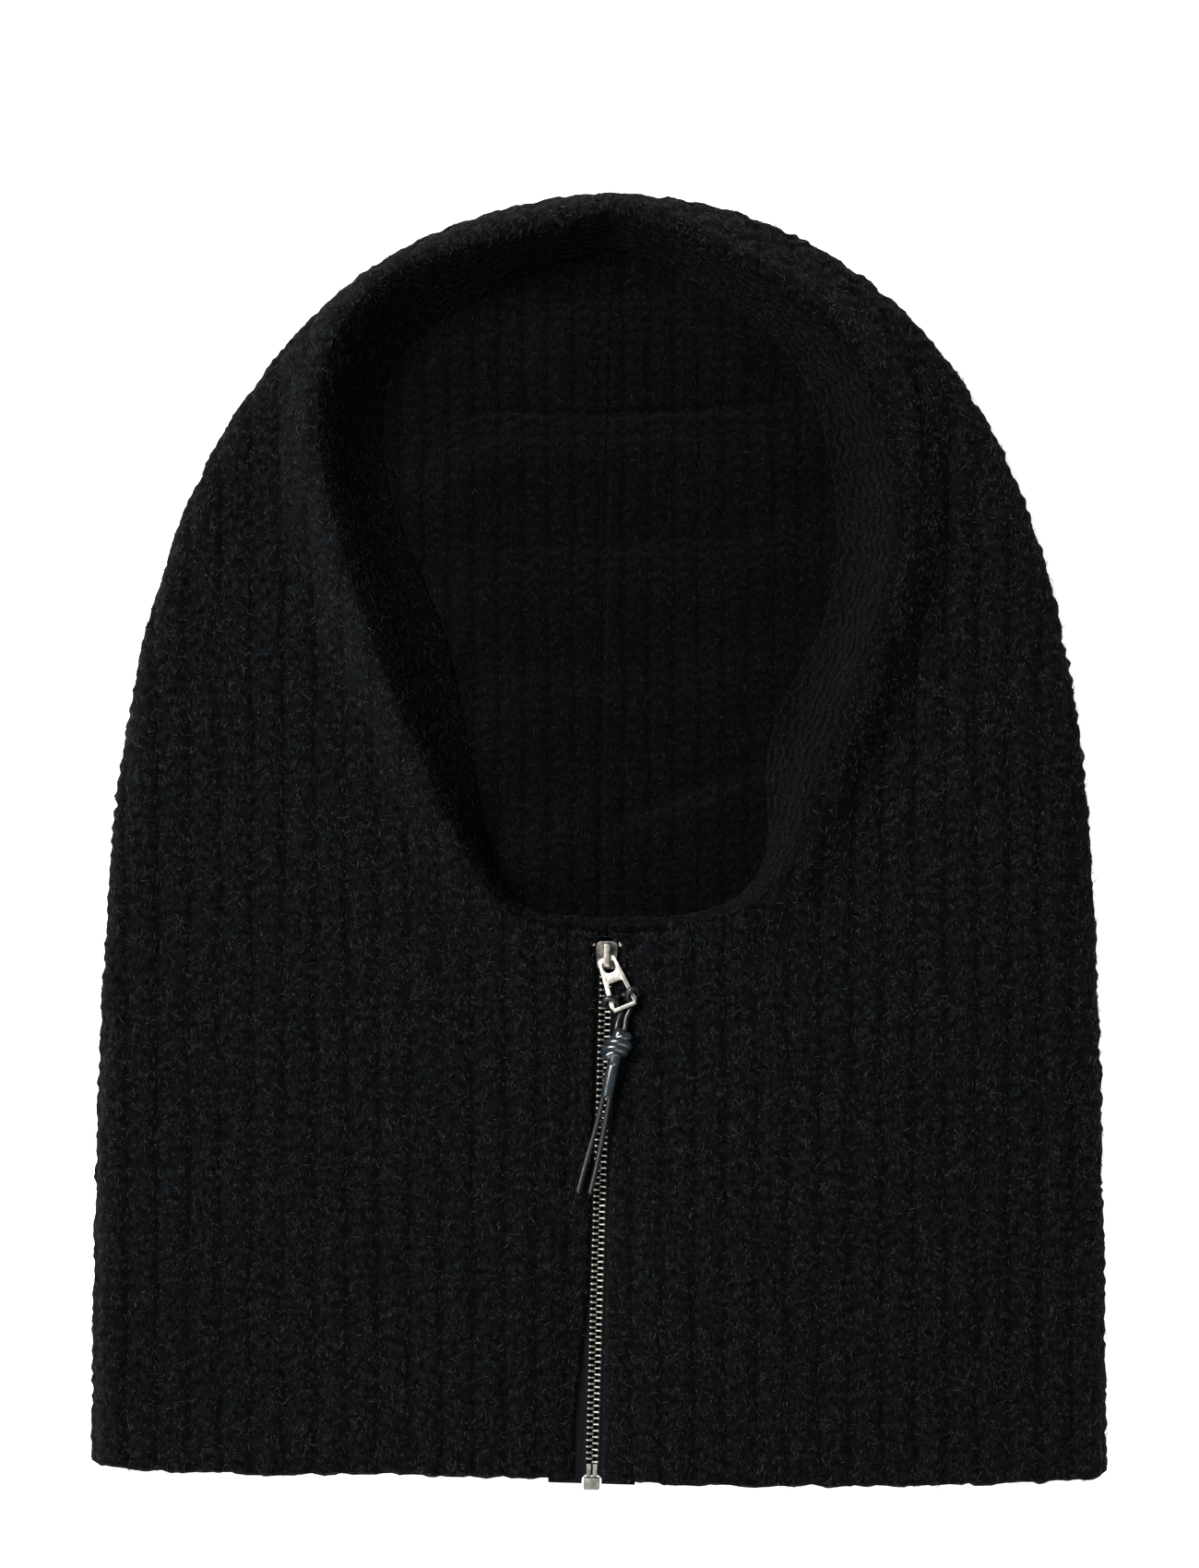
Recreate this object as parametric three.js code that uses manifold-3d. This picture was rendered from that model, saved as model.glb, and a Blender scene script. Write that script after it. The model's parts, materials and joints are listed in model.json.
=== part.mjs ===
// A zip-front knitted balaclava lying flat on its back, face opening up.
// Millimetres. +X to the right of someone looking down on it, +Y to the crown, +Z up off the table.
// The origin is under the middle of the hood, on the table.
import * as THREE from "three";
import { mergeVertices } from "three/addons/utils/BufferGeometryUtils.js";
import Module from "manifold-3d";

// ---- Driving dimensions ----

const HOOD_WIDTH = 330; // widest, across the hem
const HOOD_LENGTH = 420; // crown to hem
const KNIT = 4; // thickness of the brushed knit
const CAVITY = 10; // free height between the back and the front layer
const FOLD_REACH = 7; // plan width of the round fold along the sides and the crown
const CORNER_RISE = 3; // how much higher the hem sits at the side corners
const HEM_DROP_LEFT = 5; // hem's distance above the lowest point, left of the zip
const HEM_DROP_RIGHT = 1.2; // the same, right of the zip
const GAP = 0.3; // clearance between pieces that touch

const OPENING_SIDE_MARGIN = 69.5; // mean plan distance from the opening's ridge to the side
const OPENING_TOP_MARGIN = 5.5; // from the ridge to the crown
const RIDGE_HEIGHT = 13; // rise of the opening's ridge above the front layer
const RIDGE_SPREAD = 9; // plan reach of the ridge's outer slope
const BAND_SIDE_REACH = 20; // plan width of the turned-in face band at the sides
const BAND_TOP_REACH = 10; // the same at the crown
const BAND_BOTTOM_REACH = 6; // the same above the zip
const BAND_KNIT = 3.2; // thickness of the face band
const BAND_FOOT = 7.8; // height of the band's free lower edge, at its middle: just clear of the back

const ZIP_LENGTH = 180; // retainer box to the top of the tape
const ZIP_LEAN = THREE.MathUtils.degToRad(1.66); // lean of the zip to the right, going up
const ZIP_FOOT_X = -2.5; // where the zip meets the hem
const TOOTH_PITCH = 2.03;
const TOOTH_THICK = 0.7; // along the zip
const TOOTH_HIGH = 2; // across the tape's thickness
const CHAIN_WIDTH = 4; // across both closed rows
const TOOTH_OVERLAP = 0.25; // how far a tooth reaches past the middle
const BEAD_WIDTH = 0.65; // corded edge that carries the teeth
const TAPE_WIDTH = 12;
const TAPE_THICK = 0.6;
const PANEL_EDGE_KNIT = 2.2; // the knit is pressed thinner where it is sewn to the tape
const PANEL_EDGE_REACH = 25; // it is back to full thickness this far from the zip
const PANEL_GAP_LEFT_HEM = 6.2; // knit edge to the middle of the zip, left, at the hem
const PANEL_GAP = 4; // the same along the rest of the zip, both sides
const PANEL_GAP_TOP = 5.9; // the same beside the top stops
const PANEL_FLARE = 14; // length over which the edge opens out at the top stops

const BOX_WIDTH = 5.2;
const BOX_LENGTH = 3.9;
const BOX_HIGH = 2.8;
const PIN_WIDTH = 1.6;
const PIN_LENGTH = 4.2;
const PIN_HIGH = 1.8;
const STOP_WIDTH = 1.3;
const STOP_LENGTH = 1.6;

const SLIDER_WIDTH = 6.9;
const SLIDER_FOOT_WIDTH = 5.9; // at the closed-teeth end
const SLIDER_LENGTH = 8.8;
const PLATE_THICK = 1;
const FLANGE_THICK = 0.6;
const POST_WIDTH = 1.1;
const POST_LENGTH = 1.8;
const BAIL_WIDTH = 2;
const BAIL_THICK = 0.75;
const BAIL_LENGTH = 8.1;

const PULLER_LENGTH = 17;
const PULLER_TOP_WIDTH = 5.9;
const PULLER_FOOT_WIDTH = 8.9;
const PULLER_THICK = 1.1;
const PULLER_RAIL = 1.15; // width of the window's legs and foot bar
const PULLER_TURN = THREE.MathUtils.degToRad(21.5); // swung this far to the right of straight down
const PIVOT_BELOW_MIDDLE = 1.7; // pivot's distance below the slider's middle, along the zip

const CORD = 1.8; // cord diameter
const FOOT_RIDE = 0.08; // the puller's foot rides this much higher than two turns of the cord
const TAIL_CLEAR = 0.16; // from the cord's middle line to the side of each tail, at the sleeve
const KNOT_WIDTH = 9;
const KNOT_LENGTH = 11.6;
const KNOT_HIGH = 6.6;
const SLEEVE = 4.2; // sleeve diameter
const SLEEVE_LENGTH = 10.4;
const SWING_GAP = 1; // free space where the cord bends between the puller and the knot

// ---- Values that follow from them ----

const TOP_Y = (HOOD_LENGTH - KNIT) / 2; // the knit's middle surface, as on the sides
const SIDE_X = (HOOD_WIDTH - KNIT) / 2;
const FOOT_Y = -HOOD_LENGTH / 2;
const BACK_MID = KNIT / 2;
const FRONT_MID = KNIT + CAVITY + KNIT / 2;
const FOLD_MID = (BACK_MID + FRONT_MID) / 2;
const ZIP_FACE = KNIT + CAVITY + GAP; // the knit's inner face beside the zip
const ZIP_Z = ZIP_FACE - GAP - TAPE_THICK / 2; // middle of the tape
const HALF_PITCH = TOOTH_PITCH / 2;
const HALF_CHAIN = CHAIN_WIDTH / 2;
const CHAIN_START = BOX_LENGTH + GAP + PIN_LENGTH + GAP;
const SLIDER_REST = ZIP_LENGTH - 2 - SLIDER_LENGTH / 2;
const POST_MIDDLE = SLIDER_LENGTH / 2 - POST_LENGTH / 2 - 0.6; // above the slider's middle
const CHAIN_END = SLIDER_REST + POST_MIDDLE - POST_LENGTH / 2 - GAP;
const OPENING_FOOT_Y = FOOT_Y + ZIP_LENGTH + 2;
const OPENING_TOP_Y = TOP_Y - OPENING_TOP_MARGIN;
const OPENING_HEIGHT = OPENING_TOP_Y - OPENING_FOOT_Y;
const OPENING_HALF = SIDE_X - OPENING_SIDE_MARGIN;
const PLATE_FLOOR = ZIP_Z + TOOTH_HIGH / 2 + GAP; // underside of the slider's top plate
const PLATE_TOP = PLATE_FLOOR + PLATE_THICK;
const PIVOT_Z = PLATE_TOP + PULLER_THICK;
const PULLER_TILT = Math.asin((2 * CORD + FOOT_RIDE) / PULLER_LENGTH);
const BAIL_FLOOR = PIVOT_Z + 0.95;

const wasm = await Module();
wasm.setup();

const lerp = THREE.MathUtils.lerp;
const smooth = THREE.MathUtils.smoothstep;
const vec = (x, y, z = 0) => new THREE.Vector3(x, y, z);

// ---- Finishes ----

const finish = (color, roughness, metalness) => () =>
  new THREE.MeshStandardMaterial({ color, roughness, metalness });
const knit = finish(0x151719, 0.95, 0);
const webbing = finish(0x141518, 0.7, 0);
const nickel = finish(0xb9b4aa, 0.3, 1);
const steel = finish(0x77746c, 0.45, 1);
const rubber = finish(0x0b0c0d, 0.3, 0);
const slate = finish(0x39424a, 0.2, 0);

// ---- Solid helpers ----

function mesh(name, geometry, material) {
  const made = new THREE.Mesh(geometry, material());
  made.name = name;
  return made;
}

function toSolid(geometry) {
  const bare = geometry.clone();
  bare.deleteAttribute("normal");
  bare.deleteAttribute("uv");
  const merged = mergeVertices(bare, 1e-4);
  return new wasm.Manifold(
    new wasm.Mesh({
      numProp: 3,
      vertProperties: merged.attributes.position.array,
      triVerts: new Uint32Array(merged.index.array),
    }),
  );
}

function toGeometry(solid) {
  const made = solid.getMesh();
  const geometry = new THREE.BufferGeometry();
  geometry.setAttribute("position", new THREE.BufferAttribute(made.vertProperties, 3));
  geometry.setIndex(new THREE.BufferAttribute(made.triVerts, 1));
  geometry.computeVertexNormals();
  return geometry;
}

const join = (parts) => toGeometry(parts.map(toSolid).reduce((a, b) => a.add(b)));

// An outline in the XY plane, raised from z0 to z1.
function prism(points, z0, z1, curveSegments = 6) {
  const shape = points instanceof THREE.Shape ? points : new THREE.Shape(points);
  const geometry = new THREE.ExtrudeGeometry(shape, { depth: z1 - z0, bevelEnabled: false, curveSegments });
  return geometry.translate(0, 0, z0);
}

function block(x0, x1, y0, y1, z0, z1) {
  const geometry = new THREE.BoxGeometry(x1 - x0, y1 - y0, z1 - z0);
  return geometry.translate((x0 + x1) / 2, (y0 + y1) / 2, (z0 + z1) / 2);
}

function tube(points, diameter, steps, sides = 8) {
  const shape = new THREE.Shape();
  shape.absarc(0, 0, diameter / 2, 0, 2 * Math.PI);
  const path = new THREE.CatmullRomCurve3(points);
  return new THREE.ExtrudeGeometry(shape, { extrudePath: path, steps, curveSegments: sides / 2 });
}

function signedVolume(position, index) {
  const a = vec(0, 0);
  const b = vec(0, 0);
  const c = vec(0, 0);
  let sum = 0;
  for (let i = 0; i < index.length; i += 3) {
    a.fromArray(position, 3 * index[i]);
    b.fromArray(position, 3 * index[i + 1]);
    c.fromArray(position, 3 * index[i + 2]);
    sum += a.dot(b.cross(c));
  }
  return sum / 6;
}

// A closed sheet: rows of middle points, a unit normal at each, and the thickness there.
function sheet(rows, normals, thickness) {
  const nv = rows.length;
  const nu = rows[0].length;
  const position = [];
  for (const side of [1, -1])
    for (let j = 0; j < nv; j++)
      for (let i = 0; i < nu; i++) {
        const offset = (side * thickness(rows[j][i])) / 2;
        position.push(...rows[j][i].clone().addScaledVector(normals[j][i], offset));
      }
  const at = (side, j, i) => side * nv * nu + j * nu + i;
  const index = [];
  const quad = (a, b, c, d) => index.push(a, b, c, a, c, d);
  for (let j = 0; j + 1 < nv; j++)
    for (let i = 0; i + 1 < nu; i++) {
      quad(at(0, j, i), at(0, j, i + 1), at(0, j + 1, i + 1), at(0, j + 1, i));
      quad(at(1, j, i), at(1, j + 1, i), at(1, j + 1, i + 1), at(1, j, i + 1));
    }
  for (let j = 0; j + 1 < nv; j++) {
    quad(at(0, j, 0), at(0, j + 1, 0), at(1, j + 1, 0), at(1, j, 0));
    quad(at(0, j, nu - 1), at(1, j, nu - 1), at(1, j + 1, nu - 1), at(0, j + 1, nu - 1));
  }
  for (let i = 0; i + 1 < nu; i++) {
    quad(at(0, 0, i), at(1, 0, i), at(1, 0, i + 1), at(0, 0, i + 1));
    quad(at(0, nv - 1, i), at(0, nv - 1, i + 1), at(1, nv - 1, i + 1), at(1, nv - 1, i));
  }
  if (signedVolume(position, index) < 0) index.reverse();
  const geometry = new THREE.BufferGeometry();
  geometry.setAttribute("position", new THREE.Float32BufferAttribute(position, 3));
  geometry.setIndex(index);
  geometry.computeVertexNormals();
  return geometry;
}

// Upward unit normals of a grid of points, by differences between neighbours.
function gridNormals(rows) {
  const clamp = (k, n) => Math.max(0, Math.min(n - 1, k));
  return rows.map((row, j) =>
    row.map((_, i) => {
      const across = row[clamp(i + 1, row.length)].clone().sub(row[clamp(i - 1, row.length)]);
      const up = rows[clamp(j + 1, rows.length)][i].clone().sub(rows[clamp(j - 1, rows.length)][i]);
      const normal = across.cross(up).normalize();
      return normal.z < 0 ? normal.negate() : normal;
    }),
  );
}

// ---- Outline of the hood, lying flat ----

// Share of the way from the hem's lowest point to the crown.
const rise = (y) => (y - FOOT_Y) / (TOP_Y - FOOT_Y);
// The middle of the hood leans a little to the right towards the crown.
const CROWN_LEAN = 5.5;
const middleX = (y) => CROWN_LEAN * Math.max(rise(y), 0) ** 3;
// Half the width: a slight taper times a round crown, a superellipse of this power.
const CROWN_POWER = 4.6;
const SIDE_TAPER = 0.03;

function halfWidth(y) {
  const s = THREE.MathUtils.clamp(rise(y), 0, 1);
  return SIDE_X * (1 - SIDE_TAPER * s) * Math.sqrt(1 - s ** CROWN_POWER);
}

function hemY(x) {
  const share = (1 - Math.tanh(x / 30)) / 2;
  const drop = lerp(HEM_DROP_RIGHT, HEM_DROP_LEFT, share);
  return FOOT_Y + drop + CORNER_RISE * (Math.abs(x) / SIDE_X) ** 6;
}

// The side from a height up to the crown, evenly spaced along its length; side is 1 or -1.
function sideCurve(side, fromY) {
  const points = [];
  const count = 60;
  for (let k = 0; k <= count; k++) {
    const y = TOP_Y - (TOP_Y - fromY) * (1 - k / count) ** 2;
    points.push(vec(middleX(y) + side * Math.max(halfWidth(y), GAP / 2), y));
  }
  return new THREE.CatmullRomCurve3(points, false, "centripetal");
}

const outline = [1, -1].flatMap((side) => sideCurve(side, FOOT_Y - 20).getSpacedPoints(600));

// The place of the nearest of some points, and how far away it is.
function nearest(points, x, y) {
  let place = 0;
  let least = Infinity;
  points.forEach((p, k) => {
    const squared = (p.x - x) ** 2 + (p.y - y) ** 2;
    if (squared < least) {
      least = squared;
      place = k;
    }
  });
  return { place, distance: Math.sqrt(least) };
}

// Height of the round fold, 1 on the outline and 0 from FOLD_REACH inwards.
function fold(x, y) {
  const share = Math.max(0, 1 - nearest(outline, x, y).distance / FOLD_REACH);
  return 1 - Math.sqrt(1 - share * share);
}

const FRONT_FOLD = FRONT_MID - FOLD_MID - GAP / 2;
const BACK_FOLD = FOLD_MID - GAP / 2 - BACK_MID;
const backHeight = (x, y) => BACK_MID + BACK_FOLD * fold(x, y);

// The upward unit normal of a height field.
function fieldNormal(height, x, y) {
  const step = 0.05;
  const slopeX = (height(x + step, y) - height(x - step, y)) / (2 * step);
  const slopeY = (height(x, y + step) - height(x, y - step)) / (2 * step);
  return vec(-slopeX, -slopeY, 1).normalize();
}

// ---- Ridge of the face opening ----

// Points of the ridge from the zip up to the crown: shares of OPENING_HALF and OPENING_HEIGHT.
const RIDGE_RIGHT = [
  [0.3, 0.005], [0.52, 0.03], [0.66, 0.085], [0.8, 0.235], [0.97, 0.42],
  [1.05, 0.565], [1.015, 0.69], [0.87, 0.815], [0.68, 0.885], [0.45, 0.935], [0.27, 0.972],
];
const RIDGE_LEFT = [
  [0.29, 0.02], [0.43, 0.085], [0.545, 0.18], [0.67, 0.295], [0.78, 0.41],
  [0.875, 0.53], [0.945, 0.635], [0.96, 0.745], [0.89, 0.835], [0.73, 0.905], [0.4, 0.957],
];

const zipX = (y) => ZIP_FOOT_X + (y - FOOT_Y) * Math.tan(ZIP_LEAN);
const ridgeTopX = middleX(OPENING_TOP_Y) - 2;

function ridgeCurve(side, shares) {
  const points = [vec(zipX(OPENING_FOOT_Y) + side * PANEL_GAP_TOP, OPENING_FOOT_Y)];
  for (const [x, y] of shares)
    points.push(vec(side * x * OPENING_HALF, OPENING_FOOT_Y + y * OPENING_HEIGHT));
  points.push(vec(ridgeTopX + side * (GAP / 2), OPENING_TOP_Y));
  return new THREE.CatmullRomCurve3(points, false, "centripetal");
}

const ridge = { 1: ridgeCurve(1, RIDGE_RIGHT), [-1]: ridgeCurve(-1, RIDGE_LEFT) };

// The ridge fades out towards the zip; a is 0 at the zip and 1 at the crown.
const ridgeRise = (a) => RIDGE_HEIGHT * smooth(a, 0, 0.42);
const bandReach = (a) =>
  a < 0.5
    ? lerp(BAND_BOTTOM_REACH, BAND_SIDE_REACH, smooth(a, 0.02, 0.4))
    : lerp(BAND_SIDE_REACH, BAND_TOP_REACH, smooth(a, 0.6, 1));

const ridgePoints = [1, -1].flatMap((side) => ridge[side].getSpacedPoints(500));

// Middle height of the front layer: flat, up to the ridge round the opening, down at the fold.
function frontHeight(x, y) {
  const { place, distance } = nearest(ridgePoints, x, y);
  const lift = ridgeRise((place % 501) / 500) * Math.exp(-((distance / RIDGE_SPREAD) ** 2));
  return FRONT_MID + lift - FRONT_FOLD * fold(x, y);
}

// ---- Knit panels ----

// Shares from 0 to 1, closer together at both ends.
const eased = (count) => Array.from({ length: count + 1 }, (_, k) => (1 - Math.cos((Math.PI * k) / count)) / 2);

// Where the knit's edge lies beside the zip at height y.
function panelGap(side, y) {
  const flare = smooth(y, OPENING_FOOT_Y - PANEL_FLARE, OPENING_FOOT_Y - 2);
  const hemGap = side < 0 ? lerp(PANEL_GAP_LEFT_HEM, PANEL_GAP, smooth(y, FOOT_Y, FOOT_Y + 70)) : PANEL_GAP;
  return lerp(hemGap, PANEL_GAP_TOP, flare);
}

// Rows of plan points from the inner edge to the side: straight rows beside the zip, then a fan
// from the inner curve to the crown. Each point carries its share along its row's inner curve.
function planRows(side, innerX, innerCurve, across, zipRows, fanRows) {
  const rows = [];
  for (let j = 0; j < zipRows; j++) {
    const share = j / zipRows;
    const place = (x) => lerp(hemY(x), OPENING_FOOT_Y, share);
    const y = lerp(FOOT_Y, OPENING_FOOT_Y, share);
    const from = innerX(y);
    const to = middleX(y) + side * halfWidth(y);
    rows.push(across.map((u) => vec(lerp(from, to, u), place(lerp(from, to, u)))));
  }
  const outer = sideCurve(side, OPENING_FOOT_Y);
  for (let j = 0; j <= fanRows; j++) {
    const from = innerCurve(j / fanRows);
    const to = outer.getPointAt(j / fanRows);
    rows.push(across.map((u) => from.clone().lerp(to, u)));
  }
  return rows;
}

// Edge normals are set square to the fold and the middle line, so that neighbours keep an even gap.
function squareEdges(rows, normals, side) {
  normals.forEach((row, j) => {
    const below = rows[Math.max(0, j - 1)];
    const above = rows[Math.min(rows.length - 1, j + 1)];
    const last = row.length - 1;
    const along = above[last].clone().sub(below[last]);
    row[last].set(side * along.y, -side * along.x, 0).normalize();
  });
  normals[normals.length - 1].forEach((n) => n.setX(0).normalize());
}

function frontPanel(side) {
  const zipRows = 12;
  const fanRows = 24;
  const innerX = (y) => zipX(y) + side * panelGap(side, y);
  const inner = (a) => ridge[side].getPointAt(a);
  const rows = planRows(side, innerX, inner, eased(10), zipRows, fanRows);
  const pressed = (p) => {
    const besideZip = 1 - smooth(p.y, OPENING_FOOT_Y, OPENING_FOOT_Y + 30);
    return besideZip * (1 - smooth(Math.abs(p.x - zipX(p.y)), PANEL_GAP, PANEL_EDGE_REACH));
  };
  const thickness = (p) => lerp(KNIT, PANEL_EDGE_KNIT, pressed(p));
  // The inner face stays level over the tape, just clear of it, where the knit is pressed thin.
  const settle = (p) => pressed(p) * (GAP - (KNIT - PANEL_EDGE_KNIT) / 2);
  const normals = rows.map((row) => row.map((p) => fieldNormal(frontHeight, p.x, p.y)));
  for (const row of rows) {
    for (const p of row) p.z = frontHeight(p.x, p.y) + settle(p);
    row[row.length - 1].z = FOLD_MID + GAP / 2;
  }
  normals.slice(zipRows).forEach((row) => row[0].set(0, 0, 1));
  squareEdges(rows, normals, side);
  return sheet(rows, normals, thickness);
}

const SEAM_WIDTH = 2;
const SEAM_TOP_Y = TOP_Y - 3 * FOLD_REACH; // the back panels close up above it
const seamX = (y) => middleX(y);

function backPanel(side) {
  const innerX = (y) => seamX(y) + side * (SEAM_WIDTH / 2 + GAP);
  const inner = (a) => {
    const y = lerp(OPENING_FOOT_Y, SEAM_TOP_Y, a);
    return vec(innerX(y), y);
  };
  const rows = planRows(side, innerX, inner, eased(9), 6, 19);
  const normals = rows.map((row) => row.map((p) => fieldNormal(backHeight, p.x, p.y)));
  for (const row of rows) {
    for (const p of row) p.z = backHeight(p.x, p.y);
    row[row.length - 1].z = FOLD_MID - GAP / 2;
  }
  squareEdges(rows, normals, side);
  normals.forEach((row) => row[0].setX(0).normalize());
  return sheet(rows, normals, () => KNIT);
}

// The overlocked seam up the middle of the back, between the two back panels.
function centreBackSeam() {
  const rows = [];
  const count = 24;
  for (let j = 0; j <= count; j++) {
    const y = lerp(hemY(0), SEAM_TOP_Y, j / count);
    rows.push([-0.5, 0.5].map((u) => vec(seamX(y) + u * SEAM_WIDTH, y, BACK_MID)));
  }
  return sheet(rows, gridNormals(rows), () => KNIT);
}

// The knit turned in over the ridge: it falls from the ridge to a free edge inside the opening.
function faceBand() {
  const perSide = 24;
  const across = 5;
  const edge = [];
  for (let k = 0; k <= perSide; k++) edge.push([ridge[1].getPointAt(k / perSide), k / perSide]);
  for (let k = perSide - 1; k >= 0; k--) edge.push([ridge[-1].getPointAt(k / perSide), k / perSide]);
  const rows = edge.map(([p, a], k) => {
    const before = edge[Math.max(0, k - 1)][0];
    const after = edge[Math.min(edge.length - 1, k + 1)][0];
    const along = after.clone().sub(before).normalize();
    const inward = vec(-along.y, along.x);
    const top = FRONT_MID + ridgeRise(a);
    const row = [];
    for (let i = 0; i <= across; i++) {
      const q = i / across;
      const reach = GAP + bandReach(a) * Math.sin((q * Math.PI) / 2) ** 1.2;
      const z = lerp(top, BAND_FOOT, 1 - Math.cos((q * Math.PI) / 2) ** 1.1);
      row.push(vec(p.x + inward.x * reach, p.y + inward.y * reach, z));
    }
    return row;
  });
  const normals = gridNormals(rows);
  for (const row of normals) row[0].set(0, 0, 1);
  return sheet(rows, normals, () => BAND_KNIT);
}

function hood() {
  const group = new THREE.Group();
  group.add(mesh("front_right_panel", frontPanel(1), knit));
  group.add(mesh("front_left_panel", frontPanel(-1), knit));
  group.add(mesh("back_right_panel", backPanel(1), knit));
  group.add(mesh("back_left_panel", backPanel(-1), knit));
  group.add(mesh("centre_back_seam", centreBackSeam(), knit));
  group.add(mesh("face_band", faceBand(), knit));
  return group;
}

// ---- Zip: its own frame has Y up along the teeth from the box's foot, Z up through the tape ----

// Polygons for the right side are mirrored for the left one.
const mirrored = (points, side) => (side > 0 ? points : points.map((p) => vec(-p.x, p.y)).reverse());

function zipTape(side) {
  const inside = HALF_CHAIN + GAP;
  const besideBox = BOX_WIDTH / 2 + GAP;
  const shoulder = BOX_LENGTH + GAP;
  const start = 1.5;
  const points = [
    vec(besideBox, start), vec(inside + TAPE_WIDTH, start), vec(inside + TAPE_WIDTH, ZIP_LENGTH),
    vec(inside, ZIP_LENGTH), vec(inside, shoulder), vec(besideBox, shoulder),
  ];
  return prism(mirrored(points, side), -TAPE_THICK / 2, TAPE_THICK / 2);
}

// A comb: the corded edge with one tooth at every pitch, the two rows half a pitch apart.
function zipTeeth(side) {
  const tip = -TOOTH_OVERLAP;
  const bead = HALF_CHAIN - BEAD_WIDTH;
  const first = CHAIN_START + TOOTH_THICK / 2 + (side > 0 ? 0 : HALF_PITCH);
  const points = [vec(HALF_CHAIN, CHAIN_START), vec(HALF_CHAIN, CHAIN_END), vec(bead, CHAIN_END)];
  const teeth = [];
  for (let y = first; y + TOOTH_THICK / 2 <= CHAIN_END; y += TOOTH_PITCH) teeth.push(y);
  for (const y of teeth.reverse()) {
    const low = y - TOOTH_THICK / 2;
    const high = y + TOOTH_THICK / 2;
    if (high < CHAIN_END) points.push(vec(bead, high));
    points.push(vec(tip, high), vec(tip, low));
    if (low > CHAIN_START) points.push(vec(bead, low));
  }
  if (side < 0) points.push(vec(bead, CHAIN_START));
  return prism(mirrored(points, side), -TOOTH_HIGH / 2, TOOTH_HIGH / 2);
}

// The bobbin thread of the seam that holds the knit to the tape, under the tape.
function zipStitch(side) {
  const x = HALF_CHAIN + 7;
  const face = -TAPE_THICK / 2 - GAP;
  const edges = [side * x - 0.4, side * x + 0.4];
  return block(edges[0], edges[1], 2, ZIP_LENGTH - 1, face - 0.4, face);
}

function topStop(side) {
  const inside = SLIDER_WIDTH / 2 + GAP;
  const edges = [side * inside, side * (inside + STOP_WIDTH)].sort((a, b) => a - b);
  const foot = TAPE_THICK / 2 + GAP;
  const y = ZIP_LENGTH - 2 - STOP_LENGTH;
  return block(edges[0], edges[1], y, y + STOP_LENGTH, foot, foot + 0.9);
}

function retainerBox() {
  const half = BOX_WIDTH / 2;
  const points = [
    vec(-half + 0.4, 0), vec(half - 0.4, 0), vec(half, 0.5),
    vec(half, BOX_LENGTH), vec(-half + 0.1, BOX_LENGTH), vec(-half, 0.5),
  ];
  return prism(points, -BOX_HIGH / 2, BOX_HIGH / 2);
}

function pin(side) {
  const near = 0.2;
  const edges = [side * near, side * (near + PIN_WIDTH)].sort((a, b) => a - b);
  const foot = BOX_LENGTH + GAP;
  return block(edges[0], edges[1], foot, foot + PIN_LENGTH, -PIN_HIGH / 2, PIN_HIGH / 2);
}

function zipChain() {
  const group = new THREE.Group();
  for (const [word, side] of [["right", 1], ["left", -1]]) {
    group.add(mesh(`zip_tape_${word}`, zipTape(side), webbing));
    group.add(mesh(`zip_teeth_${word}`, zipTeeth(side), nickel));
    group.add(mesh(`zip_stitch_${word}`, zipStitch(side), webbing));
    group.add(mesh(`top_stop_${word}`, topStop(side), nickel));
  }
  group.add(mesh("retainer_box", retainerBox(), steel));
  group.add(mesh("box_pin", pin(1), steel));
  group.add(mesh("insertion_pin", pin(-1), steel));
  return group;
}

// ---- Slider: frame at its middle, level with the tape ----

// Half of the plate's outline at a height along the slider: broad shoulders, narrower foot.
function plateShape(inset = 0) {
  const end = SLIDER_LENGTH / 2;
  const broad = SLIDER_WIDTH / 2 - inset;
  const narrow = SLIDER_FOOT_WIDTH / 2 - inset;
  const shape = new THREE.Shape();
  shape.moveTo(-narrow, -end);
  shape.lineTo(narrow, -end);
  shape.lineTo(broad, end - 2.6);
  shape.quadraticCurveTo(broad, end, broad - 1.6, end);
  shape.lineTo(-broad + 1.6, end);
  shape.quadraticCurveTo(-broad, end, -broad, end - 2.6);
  shape.closePath();
  return shape;
}

function sliderBody() {
  const upper = PLATE_FLOOR - ZIP_Z;
  const slot = TAPE_THICK / 2 + GAP;
  const end = SLIDER_LENGTH / 2;
  const broad = SLIDER_WIDTH / 2;
  const narrow = SLIDER_FOOT_WIDTH / 2;
  const flange = (side, z0, z1) => {
    const points = [
      vec(narrow - FLANGE_THICK, -end), vec(narrow, -end), vec(broad, end - 2.6), vec(broad - FLANGE_THICK, end - 2.6),
    ];
    return prism(mirrored(points, side), z0, z1);
  };
  const sunk = PLATE_THICK / 2;
  const parts = [
    prism(plateShape(), upper, upper + PLATE_THICK),
    prism(plateShape(), -upper - PLATE_THICK, -upper),
    block(
      -POST_WIDTH / 2, POST_WIDTH / 2, POST_MIDDLE - POST_LENGTH / 2, POST_MIDDLE + POST_LENGTH / 2,
      -upper - sunk, upper + sunk,
    ),
  ];
  for (const side of [1, -1]) {
    parts.push(flange(side, slot, upper + sunk));
    parts.push(flange(side, -upper - sunk, -slot));
  }
  return join(parts);
}

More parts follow.
